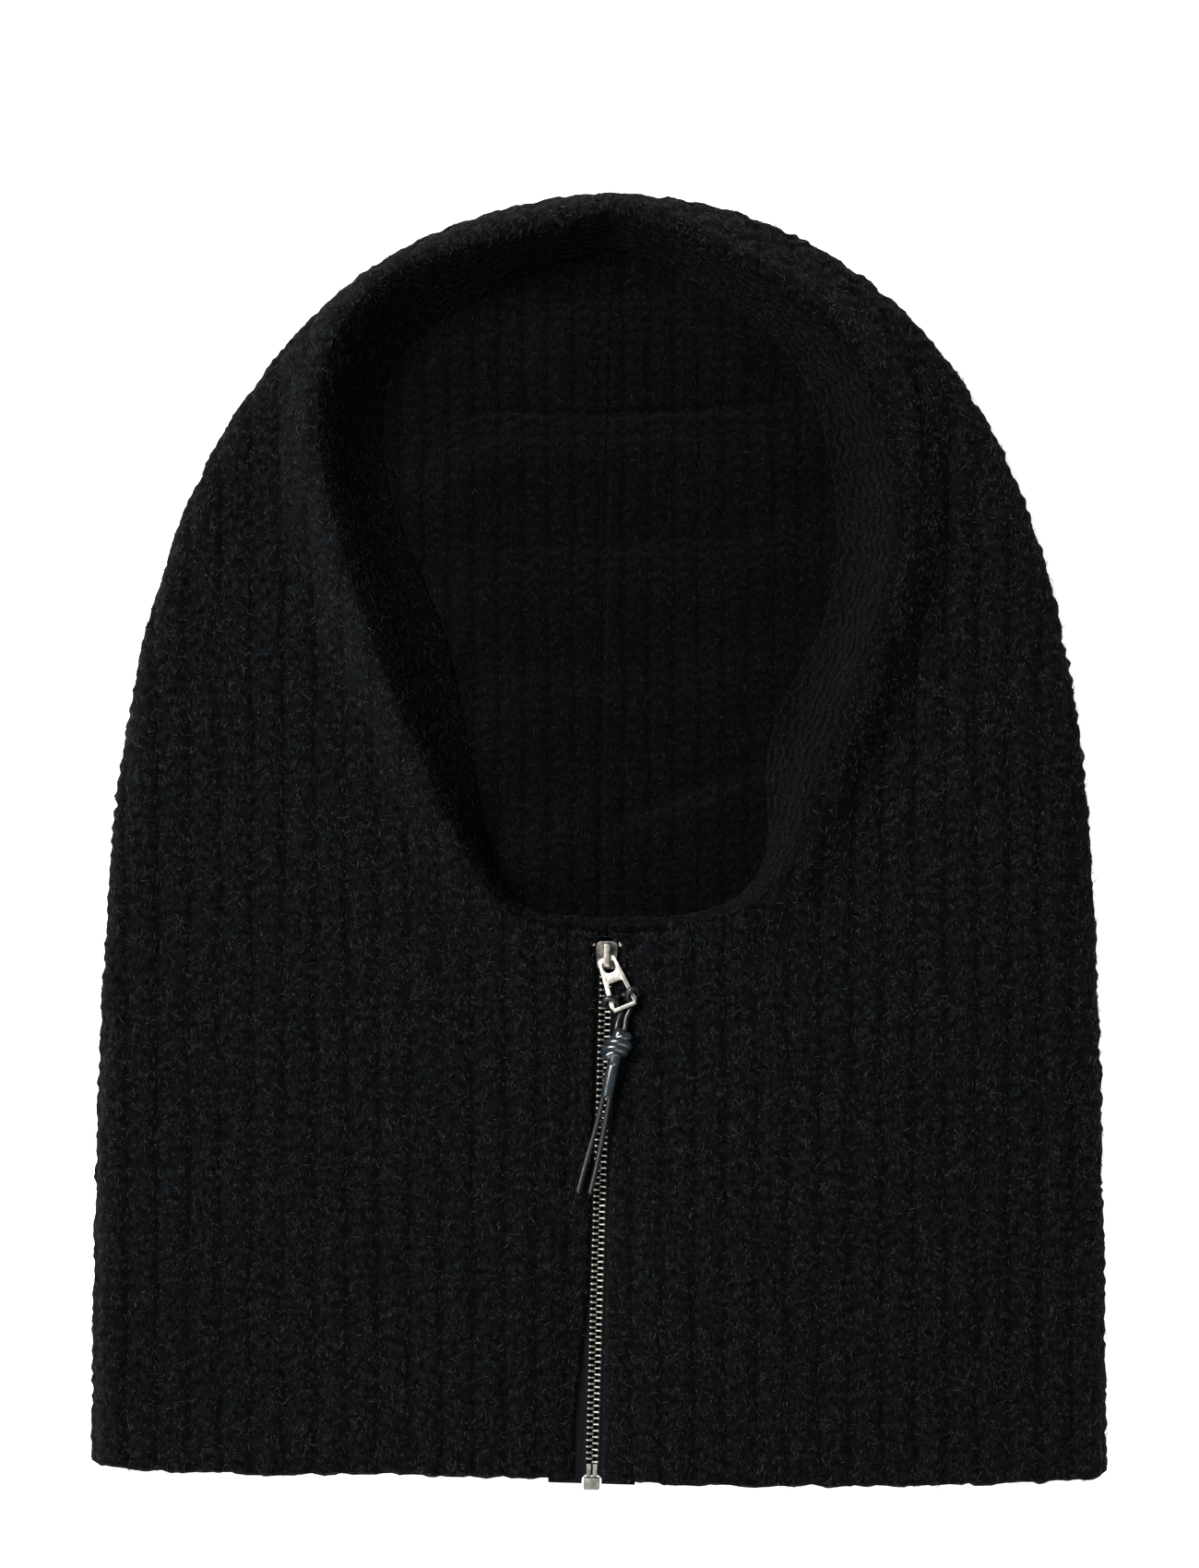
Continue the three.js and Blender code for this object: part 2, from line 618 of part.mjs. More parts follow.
// The bridge over the slider that the puller hangs on: an arch along the zip.
function sliderBail() {
  const foot = PLATE_TOP + GAP - ZIP_Z;
  const inner = BAIL_FLOOR - ZIP_Z;
  const half = BAIL_LENGTH / 2;
  const arch = new THREE.Shape();
  arch.moveTo(-half, foot);
  arch.lineTo(-half + BAIL_THICK, foot);
  arch.lineTo(-half + BAIL_THICK, inner - 0.5);
  arch.quadraticCurveTo(-half + BAIL_THICK, inner, -half + BAIL_THICK + 0.5, inner);
  arch.lineTo(half - BAIL_THICK - 0.5, inner);
  arch.quadraticCurveTo(half - BAIL_THICK, inner, half - BAIL_THICK, inner - 0.5);
  arch.lineTo(half - BAIL_THICK, foot);
  arch.lineTo(half, foot);
  arch.lineTo(half, inner - 0.4);
  arch.quadraticCurveTo(half, inner + BAIL_THICK, half - 1.3, inner + BAIL_THICK);
  arch.lineTo(-half + 1.3, inner + BAIL_THICK);
  arch.quadraticCurveTo(-half, inner + BAIL_THICK, -half, inner - 0.4);
  const geometry = prism(arch, -BAIL_WIDTH / 2, BAIL_WIDTH / 2);
  return geometry.rotateX(Math.PI / 2).rotateZ(Math.PI / 2);
}

// ---- Puller: frame at its pivot, -Y to its foot, Z through the plate ----

const EYE_TOP = 0.6; // the eye runs from here
const EYE_FOOT = 4.5; // to here, below the pivot
const EYE_HALF = 2.1;
const WINDOW_TOP = 7.6;
const HEAD = 0.85; // plate above the pivot

function pullerPlate() {
  const top = PULLER_TOP_WIDTH / 2;
  const foot = PULLER_FOOT_WIDTH / 2;
  const plate = new THREE.Shape();
  plate.moveTo(-foot + 0.7, -PULLER_LENGTH);
  plate.lineTo(foot - 0.7, -PULLER_LENGTH);
  plate.lineTo(foot, -PULLER_LENGTH + 2.2);
  plate.lineTo(top, -0.6);
  plate.quadraticCurveTo(top, HEAD, top - 1.4, HEAD);
  plate.lineTo(-top + 1.4, HEAD);
  plate.quadraticCurveTo(-top, HEAD, -top, -0.6);
  plate.lineTo(-foot, -PULLER_LENGTH + 2.2);
  plate.closePath();
  plate.holes.push(eye(), pullerWindow());
  return prism(plate, -PULLER_THICK / 2, PULLER_THICK / 2, 5);
}

function eye() {
  const hole = new THREE.Path();
  const corner = 1;
  hole.moveTo(-EYE_HALF + corner, -EYE_TOP);
  hole.lineTo(EYE_HALF - corner, -EYE_TOP);
  hole.quadraticCurveTo(EYE_HALF, -EYE_TOP, EYE_HALF, -EYE_TOP - corner);
  hole.lineTo(EYE_HALF, -EYE_FOOT + 2);
  hole.quadraticCurveTo(EYE_HALF, -EYE_FOOT, 0, -EYE_FOOT);
  hole.quadraticCurveTo(-EYE_HALF, -EYE_FOOT, -EYE_HALF, -EYE_FOOT + 2);
  hole.lineTo(-EYE_HALF, -EYE_TOP - corner);
  hole.quadraticCurveTo(-EYE_HALF, -EYE_TOP, -EYE_HALF + corner, -EYE_TOP);
  return hole;
}

// Half the plate's width at a distance below the pivot.
const plateHalf = (down) =>
  lerp(PULLER_TOP_WIDTH, PULLER_FOOT_WIDTH, (down - 0.6) / (PULLER_LENGTH - 2.8)) / 2;

function pullerWindow() {
  const top = plateHalf(WINDOW_TOP) - PULLER_RAIL;
  const low = PULLER_LENGTH - PULLER_RAIL;
  const foot = plateHalf(low - 1) - PULLER_RAIL;
  const hole = new THREE.Path();
  hole.moveTo(-foot, -low);
  hole.lineTo(-top, -WINDOW_TOP - 1);
  hole.quadraticCurveTo(-top, -WINDOW_TOP, -top + 1, -WINDOW_TOP);
  hole.lineTo(top - 1, -WINDOW_TOP);
  hole.quadraticCurveTo(top, -WINDOW_TOP, top, -WINDOW_TOP - 1);
  hole.lineTo(foot, -low);
  hole.closePath();
  return hole;
}

// ---- Pull cord ----

const LEG_CORNER = Math.hypot(PULLER_RAIL, PULLER_THICK) / 2;
const WRAP = LEG_CORNER + GAP + CORD / 2; // middle of a leg to the middle of the cord wound round it
const UNDER_PLATE = -(PULLER_THICK / 2 + GAP + CORD / 2 + 0.15);
const WRAP_FOOT = PULLER_LENGTH - PULLER_RAIL - GAP - CORD / 2 - 0.2; // lowest turn, below the pivot
const WRAP_STEP = CORD + GAP + 0.2; // distance between turns along a leg
const STRAND = CORD / 2 + 0.4; // each strand's distance from the cord's middle line

// One half of the loop in the puller's frame, from its middle out: behind the window, once round
// a leg, and back behind the foot bar.
function wrapRoute(side) {
  const leg = plateHalf(WRAP_FOOT) - PULLER_RAIL / 2;
  const route = [];
  const turns = 10;
  for (let k = 0; k <= turns; k++) {
    const angle = Math.PI * (2 * (k / turns) + 1.25);
    const across = leg + WRAP * Math.cos(angle);
    const down = WRAP_FOOT - WRAP_STEP * (1 - k / turns);
    route.push(vec(side * across, -down, WRAP * Math.sin(angle)));
  }
  const behindBar = UNDER_PLATE;
  route.push(vec(side * 1.75, -WRAP_FOOT - 0.9, behindBar), vec(side * 1.45, -PULLER_LENGTH, behindBar));
  return route;
}

const CORD_HANG = THREE.MathUtils.degToRad(-11.5); // the knot and tails lie this way round
const HANG_Z = ZIP_FACE + PANEL_EDGE_KNIT + GAP + KNOT_HIGH / 2 + 0.3;
const TAIL_Z = FRONT_MID + KNIT / 2 + GAP + CORD / 2 + 0.2;
const STRAND_END = 6.6; // below the middle of the puller's foot bar
const KNOT_TOP = STRAND_END + SWING_GAP;
const SLEEVE_TOP = KNOT_TOP + KNOT_LENGTH + GAP;
const TAIL_TOP = SLEEVE_TOP + SLEEVE_LENGTH + GAP;

// Tail routes in the hanging frame: from the middle line to the tail's side, and down from the
// end of the sleeve.
const TAIL_LEFT = [[TAIL_CLEAR, 0], [0.25, 4], [0.6, 11], [1.2, 19], [1.7, 26], [2, 31.2]];
const TAIL_RIGHT = [[TAIL_CLEAR, 0], [0.25, 4], [0.4, 11], [0.45, 19], [0.3, 26], [0.08, 30.7]];

function tail(side, points) {
  const route = points.map(([clear, down], k) => {
    const z = lerp(HANG_Z, TAIL_Z, smooth(k, 0, 3));
    return vec(side * (CORD / 2 + clear), -TAIL_TOP - down, z);
  });
  return tube(route, CORD, 14);
}

function knot() {
  const ball = new THREE.SphereGeometry(0.5, 16, 10);
  ball.scale(KNOT_WIDTH, KNOT_LENGTH, KNOT_HIGH);
  return ball.translate(0, -KNOT_TOP - KNOT_LENGTH / 2, HANG_Z);
}

function sleeve() {
  const tubeSolid = new THREE.CylinderGeometry(SLEEVE / 2, SLEEVE / 2, SLEEVE_LENGTH, 12);
  return tubeSolid.translate(0, -SLEEVE_TOP - SLEEVE_LENGTH / 2, HANG_Z);
}

// ---- Assembly ----

function zipFrame() {
  const frame = new THREE.Group();
  frame.position.set(ZIP_FOOT_X, FOOT_Y, ZIP_Z);
  frame.rotation.z = -ZIP_LEAN;
  frame.add(zipChain());
  const slider = new THREE.Group();
  slider.position.y = SLIDER_REST;
  slider.add(mesh("slider_body", sliderBody(), nickel));
  slider.add(mesh("slider_bail", sliderBail(), nickel));
  frame.add(slider);
  return frame;
}

function pullerFrame(zip) {
  zip.updateMatrixWorld(true);
  const frame = new THREE.Group();
  frame.position.copy(zip.localToWorld(vec(0, SLIDER_REST - PIVOT_BELOW_MIDDLE, PIVOT_Z - ZIP_Z)));
  frame.rotation.set(-PULLER_TILT, 0, PULLER_TURN, "ZXY");
  frame.add(mesh("puller", pullerPlate(), nickel));
  frame.updateMatrixWorld(true);
  return frame;
}

function hangingFrame(puller) {
  const footBar = puller.localToWorld(vec(0, -PULLER_LENGTH + PULLER_RAIL / 2, 0));
  const frame = new THREE.Group();
  frame.position.set(footBar.x, footBar.y, 0);
  frame.rotation.z = CORD_HANG;
  frame.add(mesh("cord_knot", knot(), slate));
  frame.add(mesh("cord_sleeve", sleeve(), slate));
  frame.add(mesh("cord_tail_left", tail(-1, TAIL_LEFT), rubber));
  frame.add(mesh("cord_tail_right", tail(1, TAIL_RIGHT), rubber));
  frame.updateMatrixWorld(true);
  return frame;
}

// The cord's loop on the puller, from the left strand round both legs to the right strand.
function cordLoop(puller, hanging) {
  const half = (side) => {
    const wound = wrapRoute(side).map((p) => puller.localToWorld(p));
    const strand = [[0.85, 0.45], [1, 1]].map(([across, share]) => {
      const from = wound[wound.length - 1].z;
      const down = lerp(1.2, STRAND_END, share);
      return hanging.localToWorld(vec(side * STRAND * across, -down, lerp(from, HANG_Z, share)));
    });
    return [...wound, ...strand];
  };
  const behind = puller.localToWorld(vec(0, -WRAP_FOOT + WRAP_STEP, UNDER_PLATE));
  return tube([...half(-1).reverse(), behind, ...half(1)], CORD, 76);
}

const balaclava = new THREE.Group();
const zip = zipFrame();
const puller = pullerFrame(zip);
const hanging = hangingFrame(puller);
balaclava.add(hood(), zip, puller, hanging);
balaclava.add(mesh("cord_loop", cordLoop(puller, hanging), rubber));

export default balaclava;
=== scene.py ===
"""A zip-front knitted balaclava lying flat on its back: the looks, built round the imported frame.

Every shape is worked out in millimetres and put into its mesh in metres. +X is to the right of
someone looking down on the hood, +Y runs to the crown and +Z up off the table.
"""

import json
import math

import bmesh
import bpy
import numpy as np
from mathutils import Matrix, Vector

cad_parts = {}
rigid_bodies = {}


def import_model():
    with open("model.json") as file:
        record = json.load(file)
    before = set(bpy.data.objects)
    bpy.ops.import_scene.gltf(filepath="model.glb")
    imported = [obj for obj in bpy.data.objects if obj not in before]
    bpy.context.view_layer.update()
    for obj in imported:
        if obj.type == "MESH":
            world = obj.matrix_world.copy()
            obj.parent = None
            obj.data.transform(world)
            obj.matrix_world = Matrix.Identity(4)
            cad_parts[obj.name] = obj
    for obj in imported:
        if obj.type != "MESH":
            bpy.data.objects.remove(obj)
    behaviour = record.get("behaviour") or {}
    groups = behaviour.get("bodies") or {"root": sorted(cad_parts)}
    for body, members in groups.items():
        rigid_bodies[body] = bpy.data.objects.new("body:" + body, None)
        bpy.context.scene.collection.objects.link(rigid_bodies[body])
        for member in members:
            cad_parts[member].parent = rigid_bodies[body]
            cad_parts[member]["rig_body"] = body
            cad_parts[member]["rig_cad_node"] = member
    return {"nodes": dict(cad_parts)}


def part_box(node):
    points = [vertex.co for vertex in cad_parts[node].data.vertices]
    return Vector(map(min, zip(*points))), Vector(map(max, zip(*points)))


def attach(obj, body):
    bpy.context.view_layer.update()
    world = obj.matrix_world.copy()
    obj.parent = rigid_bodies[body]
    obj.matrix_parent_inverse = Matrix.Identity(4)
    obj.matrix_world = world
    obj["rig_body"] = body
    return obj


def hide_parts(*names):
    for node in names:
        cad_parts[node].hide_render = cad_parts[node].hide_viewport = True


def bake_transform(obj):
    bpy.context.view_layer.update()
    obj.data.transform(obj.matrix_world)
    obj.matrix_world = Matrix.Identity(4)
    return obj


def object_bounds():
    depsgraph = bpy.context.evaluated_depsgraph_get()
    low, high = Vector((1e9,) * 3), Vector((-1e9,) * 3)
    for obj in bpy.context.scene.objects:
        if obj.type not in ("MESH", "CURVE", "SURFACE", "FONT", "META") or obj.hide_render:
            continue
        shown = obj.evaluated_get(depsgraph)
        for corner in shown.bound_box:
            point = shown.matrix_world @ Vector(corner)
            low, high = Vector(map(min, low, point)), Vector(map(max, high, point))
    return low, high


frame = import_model()
cad_box = [list(corner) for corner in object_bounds()]

MM = 0.001


def mm_box(node):
    """The lowest and highest corners of a CAD node, in millimetres."""
    low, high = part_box(node)
    return np.array(low) / MM, np.array(high) / MM


# ---- Sizes of the hood ----

LOW, HIGH = (np.array(corner) / MM for corner in cad_box)
KNIT = 4.0  # thickness of the brushed knit
EDGE_KNIT = 2.2  # where it is pressed against the zip's tape
SIDE_X = HIGH[0] - KNIT / 2  # the knit's middle surface at the widest place
TOP_Y = mm_box("front_right_panel")[1][1] - KNIT / 2
FOOT_Y = LOW[1]
BACK_MID = KNIT / 2
CAVITY = 10.0  # between the layers
FRONT_MID = KNIT + CAVITY + KNIT / 2
FOLD_MID = (BACK_MID + FRONT_MID) / 2
FOLD_REACH = 7.0  # from the outline in to where the layers are flat
CROWN_LEAN = 5.5
CROWN_POWER = 4.6
SIDE_TAPER = 0.03

ZIP_LENGTH = 180.0
ZIP_LEAN = math.radians(1.66)
ZIP_FOOT_X = -2.5
ZIP_Z = 13.7
OPENING_FOOT_Y = FOOT_Y + ZIP_LENGTH + 2
OPENING_TOP_Y = TOP_Y - 5.5
OPENING_HEIGHT = OPENING_TOP_Y - OPENING_FOOT_Y
OPENING_HALF = SIDE_X - 69.5
RIDGE_HEIGHT = 13.0
RIDGE_SPREAD = 9.0
# The ridge's two sides, in shares of the opening's half width and of its height.
RIDGE_RIGHT = [
    [0.3, 0.005], [0.52, 0.03], [0.66, 0.085], [0.8, 0.235], [0.97, 0.42],
    [1.05, 0.565], [1.015, 0.69], [0.87, 0.815], [0.68, 0.885], [0.45, 0.935], [0.27, 0.972],
]
RIDGE_LEFT = [
    [0.29, 0.02], [0.43, 0.085], [0.545, 0.18], [0.67, 0.295], [0.78, 0.41],
    [0.875, 0.53], [0.945, 0.635], [0.96, 0.745], [0.89, 0.835], [0.73, 0.905], [0.4, 0.957],
]

RIB = 10.2  # one knit rib and its furrow
STITCH = 5.1  # height of a stitch

WORD = {1: "right", -1: "left"}  # side = 1 and -1 throughout


# ---- Small maths ----

def smooth(v, low, high):
    """0 below low, 1 above high, 3t^2 - 2t^3 between."""
    t = np.clip((v - low) / (high - low), 0, 1)
    return t * t * (3 - 2 * t)


def mix(a, b, t):
    return a + (b - a) * t


def unit(v):
    return v / np.maximum(np.linalg.norm(v, axis=-1, keepdims=True), 1e-9)


def lattice_noise(x, y, size, seed):
    """Smooth noise from -1 to 1: random values on a square lattice, joined by 3t^2 - 2t^3."""
    values = np.random.default_rng(seed).uniform(-1, 1, (256, 256))
    gx, gy = x / size, y / size
    ix, iy = np.floor(gx).astype(int), np.floor(gy).astype(int)
    tx, ty = smooth(gx - ix, 0, 1), smooth(gy - iy, 0, 1)
    at = lambda a, b: values[(ix + a) % 256, (iy + b) % 256]
    return mix(mix(at(0, 0), at(1, 0), tx), mix(at(0, 1), at(1, 1), tx), ty)


def catmull(points, count):
    """A centripetal Catmull-Rom curve through the points, evenly spaced along its length."""
    p = np.asarray(points, float)
    p = np.vstack([2 * p[0] - p[1], p, 2 * p[-1] - p[-2]])
    gaps = np.maximum(np.linalg.norm(np.diff(p, axis=0), axis=1) ** 0.5, 1e-6)
    d0, d1, d2 = (g[:, None] for g in (gaps[:-2], gaps[1:-1], gaps[2:]))
    a, b, c, d = p[:-3], p[1:-2], p[2:-1], p[3:]
    m1 = ((b - a) / d0 - (c - a) / (d0 + d1) + (c - b) / d1) * d1
    m2 = ((c - b) / d1 - (d - b) / (d1 + d2) + (d - c) / d2) * d1
    t = np.linspace(0, 1, 200, endpoint=False)[:, None, None]
    curve = (2 * t**3 - 3 * t**2 + 1) * b + (t**3 - 2 * t**2 + t) * m1
    curve = curve + (3 * t**2 - 2 * t**3) * c + (t**3 - t**2) * m2
    return respaced(np.vstack([curve.transpose(1, 0, 2).reshape(-1, p.shape[1]), p[-2:-1]]), count)


def respaced(curve, count):
    """The same line with its points evenly spaced."""
    steps = np.linalg.norm(np.diff(curve, axis=0), axis=1)
    length = np.concatenate([[0], np.cumsum(steps)])
    wanted = np.linspace(0, length[-1], count)
    return np.stack([np.interp(wanted, length, column) for column in curve.T], axis=1)


def nearest(x, y, line):
    """Distance to a line of close points, the share of the way along it, and the way off it.

    The way off is the unit vector from the line's nearest place to the point.
    """
    px, py = np.ravel(x), np.ravel(y)
    place = np.empty(px.size, int)
    for start in range(0, px.size, 20000):
        part = slice(start, start + 20000)
        squared = (px[part, None] - line[:, 0]) ** 2 + (py[part, None] - line[:, 1]) ** 2
        place[part] = squared.argmin(axis=1)
    best = np.full(px.size, np.inf)
    off = np.zeros((px.size, 2))
    for shift in (-1, 0):
        k = np.clip(place + shift, 0, len(line) - 2)
        way = line[k + 1] - line[k]
        from_start = np.stack([px, py], axis=1) - line[k]
        t = np.clip((from_start * way).sum(1) / (way**2).sum(1), 0, 1)
        apart = from_start - t[:, None] * way
        distance = np.hypot(apart[:, 0], apart[:, 1])
        off = np.where((distance < best)[:, None], apart, off)
        best = np.minimum(best, distance)
    shape = np.shape(x)
    share = place / (len(line) - 1)
    return best.reshape(shape), share.reshape(shape), unit(off).reshape(*shape, 2)


# ---- Outline, zip line and ridge, the same as the frame's ----

def rise(y):
    return (y - FOOT_Y) / (TOP_Y - FOOT_Y)


def middle_x(y):
    """The middle leans to the right with the cube of the height."""
    return CROWN_LEAN * np.maximum(rise(y), 0) ** 3


def half_width(y):
    """A slight taper times the square root of 1 - s^4.6: straight sides and a round crown."""
    s = np.clip(rise(y), 0, 1)
    return SIDE_X * (1 - SIDE_TAPER * s) * np.sqrt(1 - s**CROWN_POWER)


def hem_y(x):
    """The hem: lower right of the zip than left of it, and rising a little to both corners."""
    share = (1 - np.tanh(x / 30)) / 2
    return FOOT_Y + mix(1.2, 5.0, share) + 3.0 * (np.abs(x) / SIDE_X) ** 6


def side_curve(side, from_y, count):
    y = TOP_Y - (TOP_Y - from_y) * (1 - np.linspace(0, 1, 4000)) ** 2
    x = middle_x(y) + side * half_width(y)
    return respaced(np.stack([x, y], axis=1), count)


def zip_x(y):
    return ZIP_FOOT_X + (y - FOOT_Y) * math.tan(ZIP_LEAN)


def ridge_curve(side, shares):
    start = [zip_x(OPENING_FOOT_Y) + side * 0.05, OPENING_FOOT_Y]
    points = [[side * x * OPENING_HALF, OPENING_FOOT_Y + y * OPENING_HEIGHT] for x, y in shares]
    end = [middle_x(OPENING_TOP_Y) - 2, OPENING_TOP_Y]
    return catmull([start, *points, end], 1200)


RIDGE = {1: ridge_curve(1, RIDGE_RIGHT), -1: ridge_curve(-1, RIDGE_LEFT)}
OUTLINE = {side: side_curve(side, FOOT_Y - 20, 1400) for side in (1, -1)}


def ridge_rise(a):
    """The ridge fades out towards the zip: a is 0 there and 1 at the crown."""
    return RIDGE_HEIGHT * smooth(a, 0, 0.42)


# ---- Meshes ----

def add_mesh(name, points, faces, material, uv=None):
    """A mesh from points in millimetres and a list of (count, n) arrays of corner numbers."""
    mesh = bpy.data.meshes.new(name)
    points = np.asarray(points, np.float32) * MM
    mesh.vertices.add(len(points))
    mesh.vertices.foreach_set("co", points.ravel())
    loops = np.concatenate([np.asarray(f).ravel() for f in faces]).astype(np.int32)
    sizes = np.concatenate([np.full(len(f), np.shape(f)[1]) for f in faces]).astype(np.int32)
    starts = np.concatenate([[0], np.cumsum(sizes)[:-1]]).astype(np.int32)
    mesh.loops.add(len(loops))
    mesh.loops.foreach_set("vertex_index", loops)
    mesh.polygons.add(len(sizes))
    mesh.polygons.foreach_set("loop_start", starts)
    mesh.polygons.foreach_set("loop_total", sizes)
    mesh.polygons.foreach_set("use_smooth", np.ones(len(sizes), bool))
    mesh.update(calc_edges=True)
    if uv is not None:
        layer = mesh.uv_layers.new(name="Pattern")
        layer.data.foreach_set("uv", (np.asarray(uv, np.float32) * MM)[loops].ravel())
    mesh.validate()
    mesh.materials.append(material)
    piece = bpy.data.objects.new(name, mesh)
    bpy.context.scene.collection.objects.link(piece)
    return piece


def grid_faces(rows, columns, start=0, flip=False):
    """Corner numbers of the quads of a grid of points, in rows."""
    j, i = np.meshgrid(np.arange(rows - 1), np.arange(columns - 1), indexing="ij")
    a = (start + j * columns + i).ravel()
    quads = np.stack([a, a + 1, a + columns + 1, a + columns], axis=1)
    return quads[:, ::-1] if flip else quads


def rim_faces(fine, coarse, step, flip):
    """Faces joining a fine edge to a coarse one that has one point for every few fine ones."""
    k = np.arange(len(coarse) - 1)
    upper = [fine[k * step + n] for n in range(step + 1)]
    ring = np.stack([coarse[k + 1], coarse[k], *upper], axis=1)
    return ring[:, ::-1] if flip else ring


def closed_sheet(name, outer, inner, uv, material, step=1, inner_uv=None):
    """A sheet with two faces: outer is a fine grid, inner the same grid with one row in step."""
    rows, columns = outer.shape[:2]
    inner = inner[::step, ::step]
    low_rows, low_columns = inner.shape[:2]
    first = rows * columns
    top = np.arange(first).reshape(rows, columns)
    low = (first + np.arange(low_rows * low_columns)).reshape(low_rows, low_columns)
    faces = [
        grid_faces(rows, columns),
        grid_faces(low_rows, low_columns, start=first, flip=True),
        rim_faces(top[0], low[0], step, True),
        rim_faces(top[-1], low[-1], step, False),
        rim_faces(top[:, 0], low[:, 0], step, False),
        rim_faces(top[:, -1], low[:, -1], step, True),
    ]
    points = np.vstack([outer.reshape(-1, 3), inner.reshape(-1, 3)])
    inner_uv = uv if inner_uv is None else inner_uv
    plan = np.vstack([uv.reshape(-1, 2), inner_uv[::step, ::step].reshape(-1, 2)])
    return outward(add_mesh(name, points, faces, material, plan))


def grid_normals(points):
    """Upward unit normals of a grid of points, from the differences between neighbours."""
    across = np.gradient(points, axis=1)
    along = np.gradient(points, axis=0)
    normal = unit(np.cross(across, along))
    return np.where(normal[..., 2:] < 0, -normal, normal)


# ---- Camera, light and floor ----

def look():
    """The camera straight above, a soft key from the upper left, a strip for the gloss, a fill."""
    camera = bpy.data.objects.new("camera", bpy.data.cameras.new("camera"))
    camera.data.lens = 100
    camera.location = (0.00015, 0.0189, 1.427)
    bpy.context.scene.collection.objects.link(camera)
    bpy.context.scene.camera = camera

    for name, place, size, power in (
        ("key", (-1.25, 0.9, 2.0), 1.0, 96),
        ("strip", (-1.02, 0.2, 1.06), 0.22, 5),
        ("fill", (0.1, -1.2, 1.2), 1.2, 11),
    ):
        lamp = bpy.data.lights.new(name, "AREA")
        lamp.size = size
        lamp.energy = power
        light = bpy.data.objects.new(name, lamp)
        light.location = place
        light.rotation_euler = (-Vector(place)).to_track_quat("-Z", "Y").to_euler()
        bpy.context.scene.collection.objects.link(light)

    world = bpy.data.worlds.new("room")
    bpy.context.scene.world = world
    world.use_nodes = True
    world.node_tree.nodes["Background"].inputs["Color"].default_value = (0.97, 0.98, 1, 1)
    world.node_tree.nodes["Background"].inputs["Strength"].default_value = 0.12
    bpy.context.scene.view_settings.view_transform = "Standard"

    corners = np.array([[-2, -2, 0], [2, -2, 0], [2, 2, 0], [-2, 2, 0]]) / MM
    floor = add_mesh("floor", corners - [0, 0, 0.1], [np.array([[0, 1, 2, 3]])], plain_paint())


# ---- Materials ----

class Value:
    """A shader socket that sums can be written with; the signs + - * / ** are added below."""

    def __init__(self, tree, socket):
        self.tree, self.socket = tree, socket

    def _sum(self, operation, *terms, clamp=False):
        node = self.tree.nodes.new("ShaderNodeMath")
        node.operation, node.use_clamp = operation, clamp
        for slot, term in zip(node.inputs, terms):
            join(self.tree, slot, term)
        return Value(self.tree, node.outputs[0])

    def __abs__(self):
        return self._sum("ABSOLUTE", self)

    def sine(self):
        return self._sum("SINE", self)

    def fraction(self):
        return self._sum("FRACT", self)

    def within(self, low, high):
        """0 below low, 1 above high, a straight line between."""
        return self._sum("DIVIDE", self - low, high - low, clamp=True)


for sign, operation in (
    ("add", "ADD"), ("sub", "SUBTRACT"), ("mul", "MULTIPLY"), ("truediv", "DIVIDE"), ("pow", "POWER"),
):
    setattr(Value, f"__{sign}__", lambda one, two, does=operation: one._sum(does, one, two))
    setattr(Value, f"__r{sign}__", lambda one, two, does=operation: one._sum(does, two, one))


def join(tree, slot, term):
    """Feed a socket from a Value, or set it to a plain number or vector."""
    if isinstance(term, Value):
        tree.links.new(term.socket, slot)
    else:
        slot.default_value = term


class Paint:
    def __init__(self, name):
        self.material = bpy.data.materials.new(name)
        self.material.use_nodes = True
        self.tree = self.material.node_tree
        self.surface = self.tree.nodes["Principled BSDF"]

    def node(self, kind, settings=(), inputs=(), output=0):
        """A new node with these settings and inputs; the Value of one of its outputs."""
        made = self.tree.nodes.new(kind)
        for key, value in dict(settings).items():
            setattr(made, key, value)
        for key, value in dict(inputs).items():
            join(self.tree, made.inputs[key], value)
        return Value(self.tree, made.outputs[output])

    def parts(self, vector):
        """The X, Y and Z of a vector."""
        made = self.tree.nodes.new("ShaderNodeSeparateXYZ")
        join(self.tree, made.inputs[0], vector)
        return [Value(self.tree, out) for out in made.outputs]

    def vector(self, x, y, z=0.0):
        return self.node("ShaderNodeCombineXYZ", inputs={"X": x, "Y": y, "Z": z})

    def pattern(self):
        """Millimetres across and along the cloth, from the piece's own UV."""
        uv = self.node("ShaderNodeUVMap", {"uv_map": "Pattern"})
        x, y, _ = self.parts(uv)
        return x * 1000, y * 1000

    def place(self):
        """Object coordinates in millimetres."""
        made = self.tree.nodes.new("ShaderNodeTexCoord")
        x, y, z = self.parts(Value(self.tree, made.outputs["Object"]))
        return x * 1000, y * 1000, z * 1000

    def noise(self, vector, scale, detail=2.0, roughness=0.5):
        inputs = {"Vector": vector, "Scale": scale, "Detail": detail, "Roughness": roughness}
        return self.node("ShaderNodeTexNoise", inputs=inputs)

    def blend(self, share, low, high):
        """One colour turning into another; each is (red, green, blue) or a Value."""
        whole = lambda c: c if isinstance(c, Value) else (*c, 1)
        made = self.tree.nodes.new("ShaderNodeMix")
        made.data_type = "RGBA"
        for slot, term in zip((0, 6, 7), (share, whole(low), whole(high))):
            join(self.tree, made.inputs[slot], term)
        return Value(self.tree, made.outputs[2])

    def bump(self, height, distance, strength=1.0):
        inputs = {"Height": height, "Distance": distance, "Strength": strength}
        return self.node("ShaderNodeBump", inputs=inputs)

    def finish(self, **sockets):
        """Set the surface's sockets; a name's underscores stand for spaces."""
        for name, term in sockets.items():
            join(self.tree, self.surface.inputs[name.replace("_", " ")], term)
        return self.material


